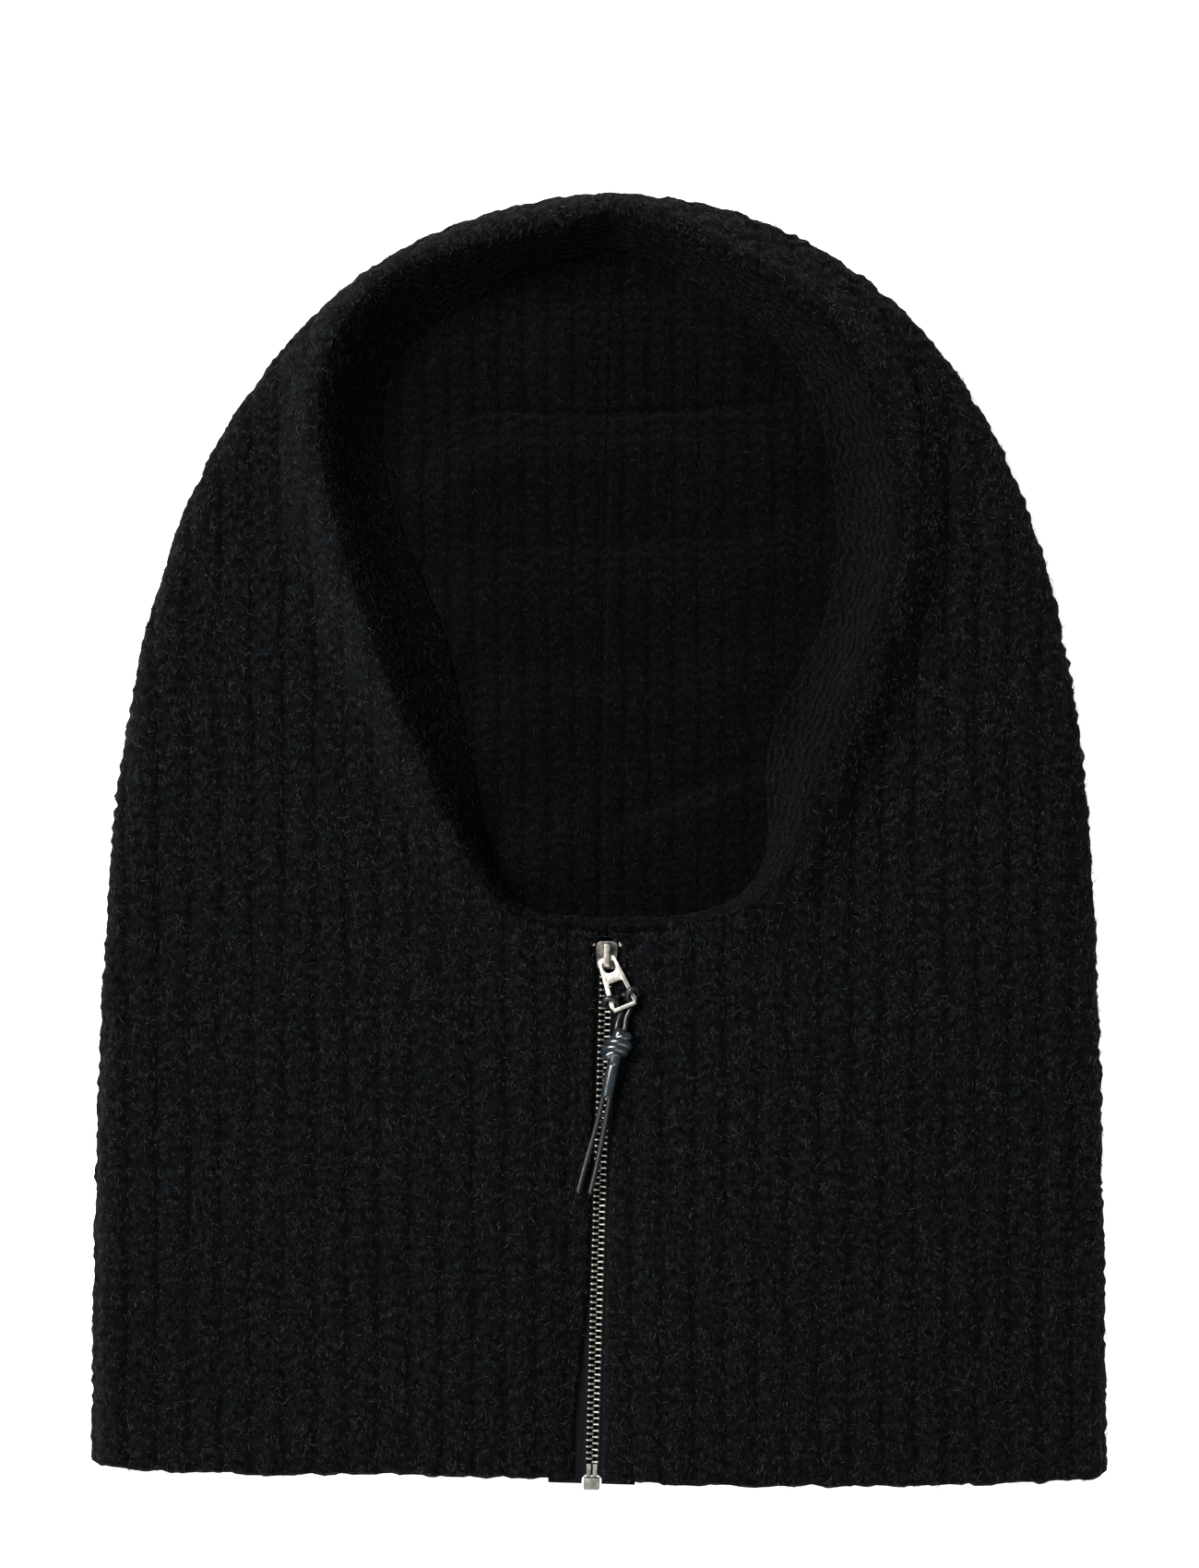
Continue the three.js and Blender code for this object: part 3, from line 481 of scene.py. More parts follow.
def plain_paint():
    paint = Paint("floor")
    return paint.finish(
        Base_Color=(0.9, 0.9, 0.9, 1), Roughness=0.9, Specular_IOR_Level=0.1,
        Emission_Color=(1, 1, 1, 1), Emission_Strength=0.85,
    )


def knit_paint(name, dark, light):
    """Brushed knit: the furrows between the ribs and between the stitches are darkened as painted
    shade, and light fibre flecks are painted glints.
    """
    paint = Paint(name)
    x, y = paint.pattern()
    at = paint.vector(x, y)
    drift = paint.noise(at, 0.06, 2) - 0.5
    across = abs((x / RIB + drift * 0.5).fraction() * 2 - 1)
    rows = ((y / STITCH + across * 0.5 + drift * 2) * 6.2832).sine() * 0.5 + 0.5
    clumps = paint.noise(at, 0.5, 3, 0.6)
    turn = (paint.noise(at, 0.2, 2) - 0.5) * 3
    fibres = paint.noise(paint.vector(x, y * 0.3 + turn), 1.5, 4, 0.7)
    strands = paint.noise(paint.vector(x * 0.6 + y * 0.4, y * 0.32 - x * 0.4 + turn), 1.9, 3, 0.65)
    # Light flecks where the fibres lie: painted glints.
    painted_fibre_glint = fibres.within(0.50, 0.66) * 0.75 + strands.within(0.52, 0.68) * 0.7
    # Darker in the furrows between ribs and stitches and in low clumps: painted shade.
    painted_furrow_shade = (1 - across**3 * 0.55) * (0.6 + rows * 0.4) * clumps.within(0.32, 0.56)
    tint = paint.blend(paint.noise(at, 0.14, 2).within(0.35, 0.65), (0.9, 1.0, 1.08), (1.02, 1.0, 0.96))
    tone = paint.blend((painted_furrow_shade * (0.25 + painted_fibre_glint)).within(0.0, 1.1), dark, light)
    colour = paint.node(
        "ShaderNodeMix", {"data_type": "RGBA", "blend_type": "MULTIPLY"},
        {0: 1.0, 6: tone, 7: tint}, output=2,
    )
    height = fibres * 0.5 + strands * 0.3 + clumps * 0.6 + rows * 0.35 - across**3 * 0.4
    return paint.finish(
        Base_Color=colour, Roughness=0.95 - painted_fibre_glint * 0.2, Normal=paint.bump(height, 0.0016, 1.0),
        Specular_IOR_Level=0.02, Sheen_Weight=0.012, Sheen_Roughness=0.55,
    )


def fibre_paint(name, dark, light):
    """Loose fibre ends: a satin grey that differs from one patch to the next."""
    paint = Paint(name)
    x, y, z = paint.place()
    patch = paint.noise(paint.vector(x, y, z), 0.9, 2)
    colour = paint.blend(patch.within(0.3, 0.7), dark, light)
    return paint.finish(Base_Color=colour, Roughness=0.75 - patch * 0.2, Specular_IOR_Level=0.15)


def webbing_paint():
    """Woven tape: a herringbone of fine diagonal ribs that turns every 3 mm."""
    paint = Paint("webbing")
    x, y = paint.pattern()
    fold_back = abs((x / 3.0).fraction() * 2 - 1)
    weave = ((y * 1.6 + fold_back * 2.4) * 6.2832).sine() * 0.5 + 0.5
    threads = (x * 14).sine() * 0.5 + 0.5
    grain = paint.noise(paint.vector(x, y), 3.0, 3)
    tone = weave * 0.5 + threads * 0.2 + grain * 0.4
    colour = paint.blend(tone.within(0.2, 1), (0.0015, 0.0017, 0.002), (0.007, 0.0075, 0.0085))
    return paint.finish(
        Base_Color=colour, Roughness=0.75 - grain * 0.2, Normal=paint.bump(tone, 0.0003, 0.8),
        Specular_IOR_Level=0.08,
    )


def metal_paint(name, dark, light, rough, wear):
    """Plated metal: cloudy gloss, fine scratches along X and Y, and a few dull specks."""
    paint = Paint(name)
    x, y, z = paint.place()
    cloud = paint.noise(paint.vector(x, y, z), 0.5, 3)
    scratch = paint.noise(paint.vector(x * 7, y * 0.5, z), 1.4, 3, 0.7)
    speck = paint.noise(paint.vector(x, y, z), 3.4, 2).within(0.66, 0.78)
    colour = paint.blend(cloud.within(0.35, 0.65) * (1 - speck * 0.6), dark, light)
    return paint.finish(
        Base_Color=colour, Metallic=1.0, Roughness=rough + cloud * 0.12 + speck * wear,
        Normal=paint.bump(scratch + cloud * 0.5, 0.00002, 0.35),
    )


def rubber_paint(name, dark, light, rough, coat):
    """Smooth moulded rubber: slightly cloudy, with a soft gloss and faint pores."""
    paint = Paint(name)
    x, y, z = paint.place()
    cloud = paint.noise(paint.vector(x, y, z), 0.35, 3)
    pores = paint.noise(paint.vector(x, y, z), 5.0, 2)
    colour = paint.blend(cloud.within(0.3, 0.7), dark, light)
    return paint.finish(
        Base_Color=colour, Roughness=rough + cloud * 0.12, Coat_Weight=coat, Coat_Roughness=0.12,
        Normal=paint.bump(pores + cloud, 0.00008, 0.5),
    )


# ---- Frames of the zip, the puller and the hanging cord ----

def turn(angle, axis):
    """A rotation matrix about one of the three axes."""
    c, s = math.cos(angle), math.sin(angle)
    if axis == "x":
        return np.array([[1, 0, 0], [0, c, -s], [0, s, c]])
    return np.array([[c, -s, 0], [s, c, 0], [0, 0, 1]])


SLIDER_REST = ZIP_LENGTH - 2 - 4.4  # the slider's middle, above the zip's foot
PULLER_LENGTH = 17.0
PULLER_RAIL = 1.15
PIVOT_Z = 17.1
CORD = 1.8
HANG_Z = 20.4  # height of the knot's middle
TAIL_Z = 19.4
STRAND = 1.3  # from the cord's middle line to the middle of each strand
STRAND_END = 6.6  # below the foot bar
GAP = 0.3
KNOT_TOP = STRAND_END + 1
KNOT_LENGTH = 11.6
SLEEVE_TOP = KNOT_TOP + KNOT_LENGTH + GAP
SLEEVE_LENGTH = 10.4
TAIL_TOP = SLEEVE_TOP + SLEEVE_LENGTH + GAP
WRAP = 1.996  # from the middle of a leg to the middle of the cord wound round it
WRAP_FOOT = 14.45  # the lower turn, below the pivot
WRAP_STEP = 2.3
WRAP_SLANT = 1.5  # how far the turn leans down the leg, so that it shows as a ring
UNDER_PLATE = -1.9

ZIP_TURN = turn(-ZIP_LEAN, "z")
PULLER_TURN = turn(math.radians(21.5), "z") @ turn(math.radians(-12.5), "x")
HANG_TURN = turn(math.radians(-11.5), "z")


def from_zip(points):
    """From the zip's frame, Y up along the teeth, to the hood's."""
    return np.asarray(points, float) @ ZIP_TURN.T + [ZIP_FOOT_X, FOOT_Y, ZIP_Z]


PIVOT = from_zip([0, SLIDER_REST - 1.7, PIVOT_Z - ZIP_Z])


def from_puller(points):
    return np.asarray(points, float) @ PULLER_TURN.T + PIVOT


FOOT_BAR = from_puller([0, -PULLER_LENGTH + PULLER_RAIL / 2, 0])


def from_hanging(points):
    return np.asarray(points, float) @ HANG_TURN.T + [FOOT_BAR[0], FOOT_BAR[1], 0]


# ---- Cord, knot and sleeve ----

def tube(name, line, radius, material, sides, ends=True):
    """A round tube along a line of points: ring corner = point + radius (cos t side + sin t up).

    The side vector is carried along without twist. Radius may differ from point to point. Rounded
    ends are three smaller rings and a middle point.
    """
    line = np.asarray(line, float)
    radius = np.broadcast_to(radius, len(line)).astype(float)
    along = unit(np.gradient(line, axis=0))
    if ends:
        cap = np.array([0.95, 0.75, 0.4])
        out = np.sqrt(1 - cap**2)
        first = line[0] - along[0] * (radius[0] * out[::-1])[:, None]
        last = line[-1] + along[-1] * (radius[-1] * out)[:, None]
        line = np.vstack([first, line, last])
        radius = np.concatenate([radius[0] * cap[::-1], radius, radius[-1] * cap])
        along = np.vstack([np.repeat(along[:1], 3, 0), along, np.repeat(along[-1:], 3, 0)])
    side = np.zeros_like(line)
    start = np.cross(along[0], [0, 0, 1.0])
    side[0] = unit(start if np.linalg.norm(start) > 0.1 else np.array([1.0, 0, 0]))
    for k in range(1, len(line)):
        side[k] = unit(side[k - 1] - along[k] * (side[k - 1] @ along[k]))
    up = np.cross(side, along)
    t = np.linspace(0, 2 * math.pi, sides, endpoint=False)
    ring = np.cos(t)[None, :, None] * side[:, None] + np.sin(t)[None, :, None] * up[:, None]
    rings = (line[:, None] + radius[:, None, None] * ring).reshape(-1, 3)
    points = np.vstack([rings, line[:1], line[-1:]])
    return outward(add_mesh(name, points, ring_faces(len(line), sides), material))


def ring_faces(rings, sides):
    """Quads between rings of corners, and a fan at each end to the two points after the rings."""
    j, i = np.meshgrid(np.arange(rings - 1), np.arange(sides), indexing="ij")
    after = (i + 1) % sides
    low = j * sides
    high = low + sides
    quads = np.stack([low + i, low + after, high + after, high + i], -1).reshape(-1, 4)
    k = np.arange(sides)
    last = (rings - 1) * sides
    start = np.stack([(k + 1) % sides, k, np.full(sides, rings * sides)], 1)
    end = np.stack([last + k, last + (k + 1) % sides, np.full(sides, rings * sides + 1)], 1)
    return [quads, start, end]


def repeated(faces, copies, corners):
    """The faces of one shape for each of its copies, whose corners follow one another."""
    starts = (np.arange(copies) * corners)[:, None, None]
    return [(f[None] + starts).reshape(-1, f.shape[1]) for f in faces]


def outward(piece):
    """Turn every face to look outwards, by the sign of the closed mesh's volume."""
    mesh = piece.data
    mesh.calc_loop_triangles()
    corner = np.empty(len(mesh.loop_triangles) * 3, np.int32)
    mesh.loop_triangles.foreach_get("vertices", corner)
    place = np.empty(len(mesh.vertices) * 3, np.float32)
    mesh.vertices.foreach_get("co", place)
    a, b, c = place.reshape(-1, 3)[corner.reshape(-1, 3)].transpose(1, 0, 2).astype(float)
    if (a * np.cross(b, c)).sum() < 0:
        mesh.flip_normals()
    return piece


def wrap_route(side):
    """Half of the loop in the puller's frame: a turn round a leg, then back behind the foot bar."""
    leg = mix(5.9, 8.9, (WRAP_FOOT - 0.6) / 14.2) / 2 - PULLER_RAIL / 2
    share = np.arange(11) / 10
    angle = math.pi * (2 * share + 1.25)
    down = WRAP_FOOT - WRAP_STEP * (1 - share) - WRAP_SLANT * np.sin(angle)
    turn_round = [side * (leg + WRAP * np.cos(angle)), -down, WRAP * np.sin(angle)]
    behind = [
        [side * 1.75, -WRAP_FOOT - 1.6, UNDER_PLATE], [side * 1.45, -PULLER_LENGTH, UNDER_PLATE],
    ]
    return np.vstack([np.stack(turn_round, axis=1), behind])


# Tails in the hanging frame: across, and down from the end of the sleeve.
TAILS = {
    -1: [[-1.06, 0], [-1.15, 4], [-1.5, 11], [-2.1, 19], [-2.6, 26], [-2.9, 31.2]],
    1: [[1.06, 0], [1.15, 4], [1.3, 11], [1.35, 19], [1.2, 26], [0.98, 30.7]],
}


def cord_route(side):
    """One half of the cord, from the middle of the loop, through the knot and sleeve, to its end."""
    start = from_puller([[side, -WRAP_FOOT + WRAP_STEP, UNDER_PLATE]])
    wound = from_puller(wrap_route(side))
    share = np.array([0.45, 1.0])
    across = side * STRAND * np.array([0.85, 1])
    height = mix(wound[-1, 2], HANG_Z, share)
    strand = np.stack([across, -mix(1.2, STRAND_END, share), height], axis=1)
    held = [[side * 1.2, -KNOT_TOP - 1, HANG_Z], [side * 1.0, -SLEEVE_TOP + 2, HANG_Z]]
    tail = np.array(TAILS[side])
    z = mix(HANG_Z, TAIL_Z, smooth(np.arange(len(tail)), 0, 3))
    free = np.stack([tail[:, 0], -TAIL_TOP - tail[:, 1], z], axis=1)
    rest = from_hanging(np.vstack([strand, held, free]))
    return catmull(np.vstack([start, wound, rest]), 190)


def cords(rubber, slate):
    """The two halves of the pull cord with the knot and the sleeve they pass through.

    The knot's wraps wind 3.4 times round a core, slanting, with a radius that swells towards the
    middle as a sine to the power 0.45.
    """
    middle = np.array([0, -KNOT_TOP - KNOT_LENGTH / 2, HANG_Z])
    t = np.linspace(0, 1, 260)
    angle = 2 * math.pi * 3.4 * t
    swell = np.sin(math.pi * np.clip(t, 0.03, 0.97)) ** 0.45
    down = (0.5 - t) * 7.6 + 1.5 * np.sin(angle + 0.6)
    coil = np.stack([3.0 * swell * np.cos(angle), down, 1.85 * swell * np.sin(angle)], axis=1)
    coil = coil @ turn(math.radians(-24), "z").T
    knot = tube("cord_knot_wraps", from_hanging(coil + middle), 1.5, slate, 14)
    core = np.stack([np.zeros(12), np.linspace(4.6, -4.8, 12), np.zeros(12)], axis=1)
    inner = tube("cord_knot_core", from_hanging(core + middle), 2.2, slate, 14)
    down = np.array([-1.2, -0.6, 0, 1, 2, 4, 6, 8, 9.6, 10.1, 10.3, 10.35, 10.36])
    sleeve_line = np.stack([0 * down, -SLEEVE_TOP - down, 0 * down + HANG_Z], axis=1)
    swell = np.array([1.7, 1.85, 1.95, 2.0, 2.05, 2.1, 2.08, 2.05, 2.08, 2.06, 1.95, 1.7, 1.2])
    sleeve = tube("cord_sleeve_tube", from_hanging(sleeve_line), swell, slate, 24, ends=False)
    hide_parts("cord_knot")
    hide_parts("cord_sleeve")
    for piece in (knot, inner, sleeve):
        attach(piece, "cord_end")
    bend_start = from_hanging([0, -STRAND_END, HANG_Z]) * MM
    bend_end = from_hanging([0, -KNOT_TOP, HANG_Z]) * MM
    for side in (-1, 1):
        line = cord_route(side)
        piece = tube(f"pull_cord_{WORD[side]}", line, CORD / 2, rubber, 14)
        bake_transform(piece)
        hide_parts(f"cord_tail_{WORD[side]}", "cord_loop")


# ---- Metal parts ----

def rounded(node, name, material, width):
    """A copy of a metal CAD node with its corners joined up and rounded."""
    piece = frame["nodes"][node].copy()
    piece.data = piece.data.copy()
    piece.name = name
    del piece["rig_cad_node"]
    bpy.context.scene.collection.objects.link(piece)
    body = piece["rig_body"]
    work = bmesh.new()
    work.from_mesh(piece.data)
    bmesh.ops.remove_doubles(work, verts=work.verts, dist=1e-6)
    bmesh.ops.dissolve_limit(work, angle_limit=0.02, verts=work.verts, edges=work.edges)
    work.to_mesh(piece.data)
    work.free()
    sharp = piece.data.attributes.get("sharp_edge")
    if sharp:
        piece.data.attributes.remove(sharp)
    piece.data.polygons.foreach_set("use_smooth", np.ones(len(piece.data.polygons), bool))
    piece.data.materials.clear()
    piece.data.materials.append(material)
    bevel = piece.modifiers.new("edges", "BEVEL")
    bevel.width = width * MM
    bevel.segments = 3
    bevel.limit_method = "ANGLE"
    bevel.angle_limit = math.radians(28)
    bevel.harden_normals = True
    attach(piece, body)
    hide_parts(node)
    return piece


def metalwork(nickel, shaded_nickel, dull):
    for node, name, width, metal in (
        # The slider's plates take the darker nickel, painted shade.
        ("slider_body", "slider_plates", 0.24, shaded_nickel),
        ("slider_bail", "slider_bridge", 0.2, nickel),
        ("puller", "pull_tab", 0.22, nickel),
        ("top_stop_left", "stop_clip_left", 0.22, nickel),
        ("top_stop_right", "stop_clip_right", 0.22, nickel),
        ("retainer_box", "retainer", 0.25, dull),
        ("box_pin", "retainer_pin", 0.25, dull),
        ("insertion_pin", "loose_pin", 0.25, dull),
    ):
        piece = rounded(node, name, metal, width)


# ---- Zip ----

TOOTH_PITCH = 2.03
TOOTH_ROOT = 2.15  # from the middle of the zip
TOOTH_TIP = -0.25
FIRST_TOOTH = 9.05  # above the zip's foot
LAST_TOOTH = 175.0
TAPE_IN, TAPE_OUT = 1.45, 14.1  # the tape's edges, from the middle of the zip
TAPE_CORD = 1.9  # the cord in the tape's edge
BOX_HALF = 3.2  # half the room that the retainer box takes
SEAM_X = 9.0
SEAM_STEP = 3.0


def teeth(side, material):
    """A row of teeth: octagons carried along each tooth, broad over the cord, waisted, round-tipped.

    In the zip's frame a tooth runs from TOOTH_ROOT over the bead to TOOTH_TIP past the middle, and
    leans a little: y is raised by x * lean.
    """
    reach = np.array([TOOTH_ROOT, 2.05, 1.45, 1.2, 0.6, -0.05, -0.2])
    half_thick = np.array([0.3, 0.46, 0.46, 0.36, 0.33, 0.33, 0.2])
    half_high = np.array([0.75, 1.0, 1.0, 0.95, 0.88, 0.8, 0.5])
    sides = 8
    t = np.linspace(0, 2 * math.pi, sides, endpoint=False) + math.pi / sides
    fat_x, fat_z = np.clip(1.188 * np.cos(t), -1, 1), np.clip(1.188 * np.sin(t), -1, 1)
    ring = np.stack([
        np.repeat(side * reach[:, None], sides, 1), half_thick[:, None] * fat_x,
        half_high[:, None] * fat_z,
    ], axis=-1)
    middles = [[side * TOOTH_ROOT, 0, 0], [side * TOOTH_TIP, 0, 0]]
    single = np.vstack([ring.reshape(-1, 3), middles])
    first = FIRST_TOOTH + (0 if side > 0 else TOOTH_PITCH / 2)
    heights = np.arange(first, LAST_TOOTH, TOOTH_PITCH)
    rng = np.random.default_rng(5 + side)
    lean = rng.normal(0, 0.025, len(heights))
    shift = rng.normal(0, 0.03, (len(heights), 3)) * [1, 0.7, 1]
    points = single + shift[:, None]
    points[..., 1] += single[:, 0] * lean[:, None] + heights[:, None]
    faces = repeated(ring_faces(len(reach), sides), len(heights), len(single))
    row = outward(add_mesh(f"teeth_{WORD[side]}", from_zip(points.reshape(-1, 3)), faces, material))
    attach(row, "hood")
    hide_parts(f"zip_teeth_{WORD[side]}")


def tape(side, webbing):
    """A woven tape: a thin flat sheet whose face rises and falls with the weave and over its cord.

    Height = half thickness + 0.06 * a slanting sine + 0.5 * exp(-((x - cord) / 0.35)^2).
    """
    gx, y = np.meshgrid(np.linspace(TAPE_IN, TAPE_OUT, 30), np.linspace(2.0, ZIP_LENGTH, 420))
    swell = 0.06 * np.sin(gx * 4.2 + y * 3.1) + 0.5 * np.exp(-(((gx - TAPE_CORD) / 0.35) ** 2))
    edge = smooth(gx, TAPE_OUT, TAPE_OUT - 0.7) * smooth(gx, TAPE_IN - 0.05, 1.8)
    beside_box = 1 - smooth(y, 3.5, 5.5)
    shift = np.where(gx < BOX_HALF, (BOX_HALF - gx) * beside_box, 0)
    x = side * (gx + shift)
    upper = np.stack([x, y, 0.06 + 0.24 * edge + swell * edge], -1)
    lower = np.stack([x, y, -0.06 - 0.24 * edge], -1)
    uv = np.stack([gx, y], -1)
    piece = closed_sheet(f"tape_{WORD[side]}", from_zip(upper), from_zip(lower), uv, webbing)
    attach(piece, "hood")
    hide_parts(f"zip_tape_{WORD[side]}")
    return piece


def seam_thread(side, webbing):
    """The bobbin thread under the tape: one short round stitch after another.

    Each stitch sags by 0.12 and swells by 0.1 in its middle, both as half a sine.
    """
    share = np.linspace(0, 1, 7)
    half_sine = np.sin(share * math.pi)
    start = np.arange(3.0, 178, SEAM_STEP)
    y = (start[:, None] + share * (SEAM_STEP - 0.1)).ravel()
    sag = np.tile(-0.78 + half_sine * -0.12, len(start))
    line = np.stack([np.full(len(y), side * SEAM_X), y, sag], 1)
    girth = np.tile(0.1 + 0.1 * half_sine, len(start))
    piece = tube(f"seam_thread_{WORD[side]}", from_zip(line), girth, webbing, 6)
    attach(piece, "hood")
    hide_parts(f"zip_stitch_{WORD[side]}")
    return piece


# ---- Knit ----

RIDGE_LOOP = np.vstack([RIDGE[1], RIDGE[-1][::-1][1:]])
OUTLINE_LOOP = np.vstack([OUTLINE[1], OUTLINE[-1][::-1][1:]])
OUTLINE_WAY = unit(np.gradient(OUTLINE_LOOP, axis=0))
FINE_ROWS = 3  # rows of a knit's seen face to one row of its hidden face


def relief(px, py, rib=RIB, stitch=STITCH, depth=1.0):
    """Height of the knit's face in millimetres, about 0 on average.

    Broad ribs with narrow furrows wander a little sideways; stitches climb each rib in Vs, here
    loose and there tight; felted lumps lie over both.
    """
    wander = lattice_noise(px, py, 26, 1) * 0.16 + lattice_noise(px, py, 5, 14) * 0.05
    share = px / rib + wander
    across = np.abs(2 * (share - np.floor(share)) - 1)
    wobble = 0.4 * lattice_noise(px, py, 17, 2) + 0.34 * lattice_noise(px, py, 5.5, 15)
    rows = 0.5 + 0.5 * np.cos(2 * math.pi * (py / stitch + 0.5 * across + wobble))
    lumps = lattice_noise(px, py, 3.1, 3) + 0.9 * lattice_noise(px, py, 1.5, 4)
    loose = np.clip(0.65 + 0.75 * lattice_noise(px, py, 8, 5), 0.1, 1.3)
    ribs = 0.5 - across**2.6
    return depth * (0.7 * ribs + 0.55 * (rows - 0.5) * loose + 0.42 * lumps)


def slack(x, y):
    """The soft rise and fall of cloth lying loose, in millimetres."""
    return 0.8 * lattice_noise(x, y, 46, 6) + 0.35 * lattice_noise(x, y, 19, 7)


def fold_share(x, y):
    """0 inside, 1 on the outline; the way out; and how far the round fold is longer than its plan."""
    distance, place, _ = nearest(x, y, OUTLINE_LOOP)
    way = OUTLINE_WAY[np.rint(place * (len(OUTLINE_LOOP) - 1)).astype(int)]
    share = np.clip(1 - distance / FOLD_REACH, 0, 1)
    longer = FOLD_REACH * (np.arcsin(share) - share)
    return share, np.stack([way[..., 1], -way[..., 0]], -1), longer


def pattern_of(x, y, out, longer):
    return x + out[..., 0] * longer, y + out[..., 1] * longer


def eased(count):
    """Shares from 0 to 1, a little closer together at both ends."""
    t = np.linspace(0, 1, count)
    return mix(t, (1 - np.cos(math.pi * t)) / 2, 0.35)


def panel_plan(side, inner_x, inner_curve, columns, low_rows, fan_rows):
    """Plan points in rows: straight rows beside the middle, then a fan round to the crown."""
    u = eased(columns)
    share = np.linspace(0, 1, low_rows, endpoint=False)[:, None]
    y = mix(FOOT_Y, OPENING_FOOT_Y, share)
    x = mix(inner_x(y), middle_x(y) + side * half_width(y), u)
    low = np.stack([x, mix(hem_y(x), OPENING_FOOT_Y, share)], -1)
    fan_from = respaced(inner_curve, fan_rows)[:, None]
    fan_to = side_curve(side, OPENING_FOOT_Y, fan_rows)[:, None]
    fan = mix(fan_from, fan_to, u[None, :, None])
    return np.vstack([low, fan])


def rounded_edge(distance, reach=2.0):
    """A quarter circle from 0 on the edge to 1 at reach."""
    return np.sqrt(1 - (1 - np.clip(distance / reach, 0, 1)) ** 2)


def hem_shift(x, above):
    """The hem's little scallops, fading out over 14 mm."""
    wave = 0.55 * lattice_noise(x, 0 * x, 4.6, 8) + 0.35 * lattice_noise(x, 0 * x, 1.9, 9)
    return wave * (1 - smooth(above, 0, 14))


def zip_gap(side, y):
    """From the middle of the zip to the knit's edge."""
    low = 6.4 if side < 0 else 3.9
    hem = mix(low, 3.25, smooth(y, FOOT_Y + 16, FOOT_Y + (70 if side < 0 else 34)))
    beside_stops = mix(hem, 4.8, smooth(y, OPENING_FOOT_Y - 15, OPENING_FOOT_Y - 8))
    return mix(beside_stops, 0.02, smooth(y, OPENING_FOOT_Y - 4.8, OPENING_FOOT_Y - 2.2))


def front_panel(side, material):
    """Half of the front layer.

    Middle height = flat + ridge rise * exp(-(distance to the ridge / 9)^2) - round fold; the face
    lies half a thickness and the knit's relief out from it along the normal.
    """
    inner_x = lambda y: zip_x(y) + side * zip_gap(side, y)
    columns, low_rows, fan_rows = 168, 142, 322
    plan = panel_plan(side, inner_x, RIDGE[side], columns, low_rows, fan_rows)
    x, y = plan[..., 0], plan[..., 1]
    above_hem = y - hem_y(x)
    y = y + hem_shift(x, above_hem)
    share, out, longer = fold_share(x, y)
    from_ridge, place, off = nearest(x, y, RIDGE_LOOP)
    rise_here = ridge_rise(1 - np.abs(2 * place - 1))
    lift = rise_here * np.exp(-((from_ridge / RIDGE_SPREAD) ** 2))
    slope = -2 * from_ridge / RIDGE_SPREAD**2 * lift
    by_zip = 1 - smooth(y, OPENING_FOOT_Y, OPENING_FOOT_Y + 30)
    from_zip_line = np.abs(x - zip_x(y))
    pressed = by_zip * (1 - smooth(from_zip_line, 4, 25))
    thickness = mix(KNIT, EDGE_KNIT, pressed)
    flat_share = np.sqrt(1 - share**2)
    z = FRONT_MID + lift - (FRONT_MID - FOLD_MID) * (1 - flat_share) - 0.6 * pressed
    z = z + slack(x, y) * flat_share * smooth(from_ridge, 4, 22) * (1 - pressed)
    sideways = out * share[..., None] - off * (slope * flat_share)[..., None]
    normal = unit(np.concatenate([sideways, flat_share[..., None]], -1))
    middle = np.stack([x, y, z], -1)
    px, py = pattern_of(x, y, out, longer)
    row = np.arange(plan.shape[0])[:, None]
    beside = np.where(row < low_rows, np.abs(x - inner_x(y)), 9)
    beside = np.maximum(beside, 2 * smooth(y, OPENING_FOOT_Y - 5, OPENING_FOOT_Y - 2))
    edge = np.minimum(rounded_edge(above_hem), rounded_edge(beside, 1.6))
    crest = mix(0.8, 1, smooth(np.where(row < low_rows, 9, from_ridge), 0, 3))
    calm = 1 - 0.75 * np.exp(-((from_ridge / 7) ** 2)) * (rise_here / RIDGE_HEIGHT)
    face = (thickness / 2 * crest + relief(px, py) * (1 - 0.45 * pressed) * calm) * edge
    outer = middle + normal * face[..., None]
    inner = middle - normal * (thickness / 2 * edge)[..., None]
    uv = np.stack([px, py], -1)
    knit = closed_sheet(f"front_{WORD[side]}_knit", outer, inner, uv, material, step=FINE_ROWS)
    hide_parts(f"front_{WORD[side]}_panel")
    return knit, outer


WRINKLES = [
    # height, height up the hood, slope, bow, half width, middle, half length
    (-4.5, 141, 0.02, 0.0006, 1.9, 14, 60),
    (7.5, 125, 0.0, -0.0008, 10, 8, 78),
    (-4.2, 100, 0.01, 0.0008, 5, 4, 66),
    (5.0, 82, 0.0, 0.0, 11, 6, 68),
    (-2.6, 57, 0.06, 0.0, 6, -8, 50),
    (3.6, 43, 0.1, 0.0, 9, 6, 54),
    (-4.0, 18, 0.36, 0.0, 4.5, 32, 40),
    (4.4, 4, 0.25, 0.0, 10, 10, 50),
    (5.0, 160, -0.06, 0.0, 11, 18, 50),
    (-2.4, 180, 0.1, 0.0, 4, 10, 34),
]


def back_face(x, y):
    """Height of the back layer's inner face: level, with long wrinkles inside the opening.

    Each wrinkle is its height * exp(-((y - line) / half width)^2), faded out at both ends, where
    line = height up the hood + slope * along + bow * along^2.
    """
    z = np.full(np.shape(x), KNIT)
    for height, up, slope, bow, width, middle, half in WRINKLES:
        along = x - middle
        line = up + slope * along + bow * along**2 + 1.6 * lattice_noise(x, y, 24, 11)
        fade = 1 - smooth(np.abs(along) / half, 0.55, 1)
        z = z + height * np.exp(-(((y - line) / width) ** 2)) * fade
    inside = np.hypot((x - 4) / 92, (y - 78) / 122)
    z = KNIT + (z - KNIT + slack(x * 1.7, y * 1.7)) * (1 - smooth(inside, 0.8, 1.02))
    return np.maximum(z, 1.6)


SEAM_HALF = 0.75
SEAM_TOP_Y = TOP_Y - 3 * FOLD_REACH


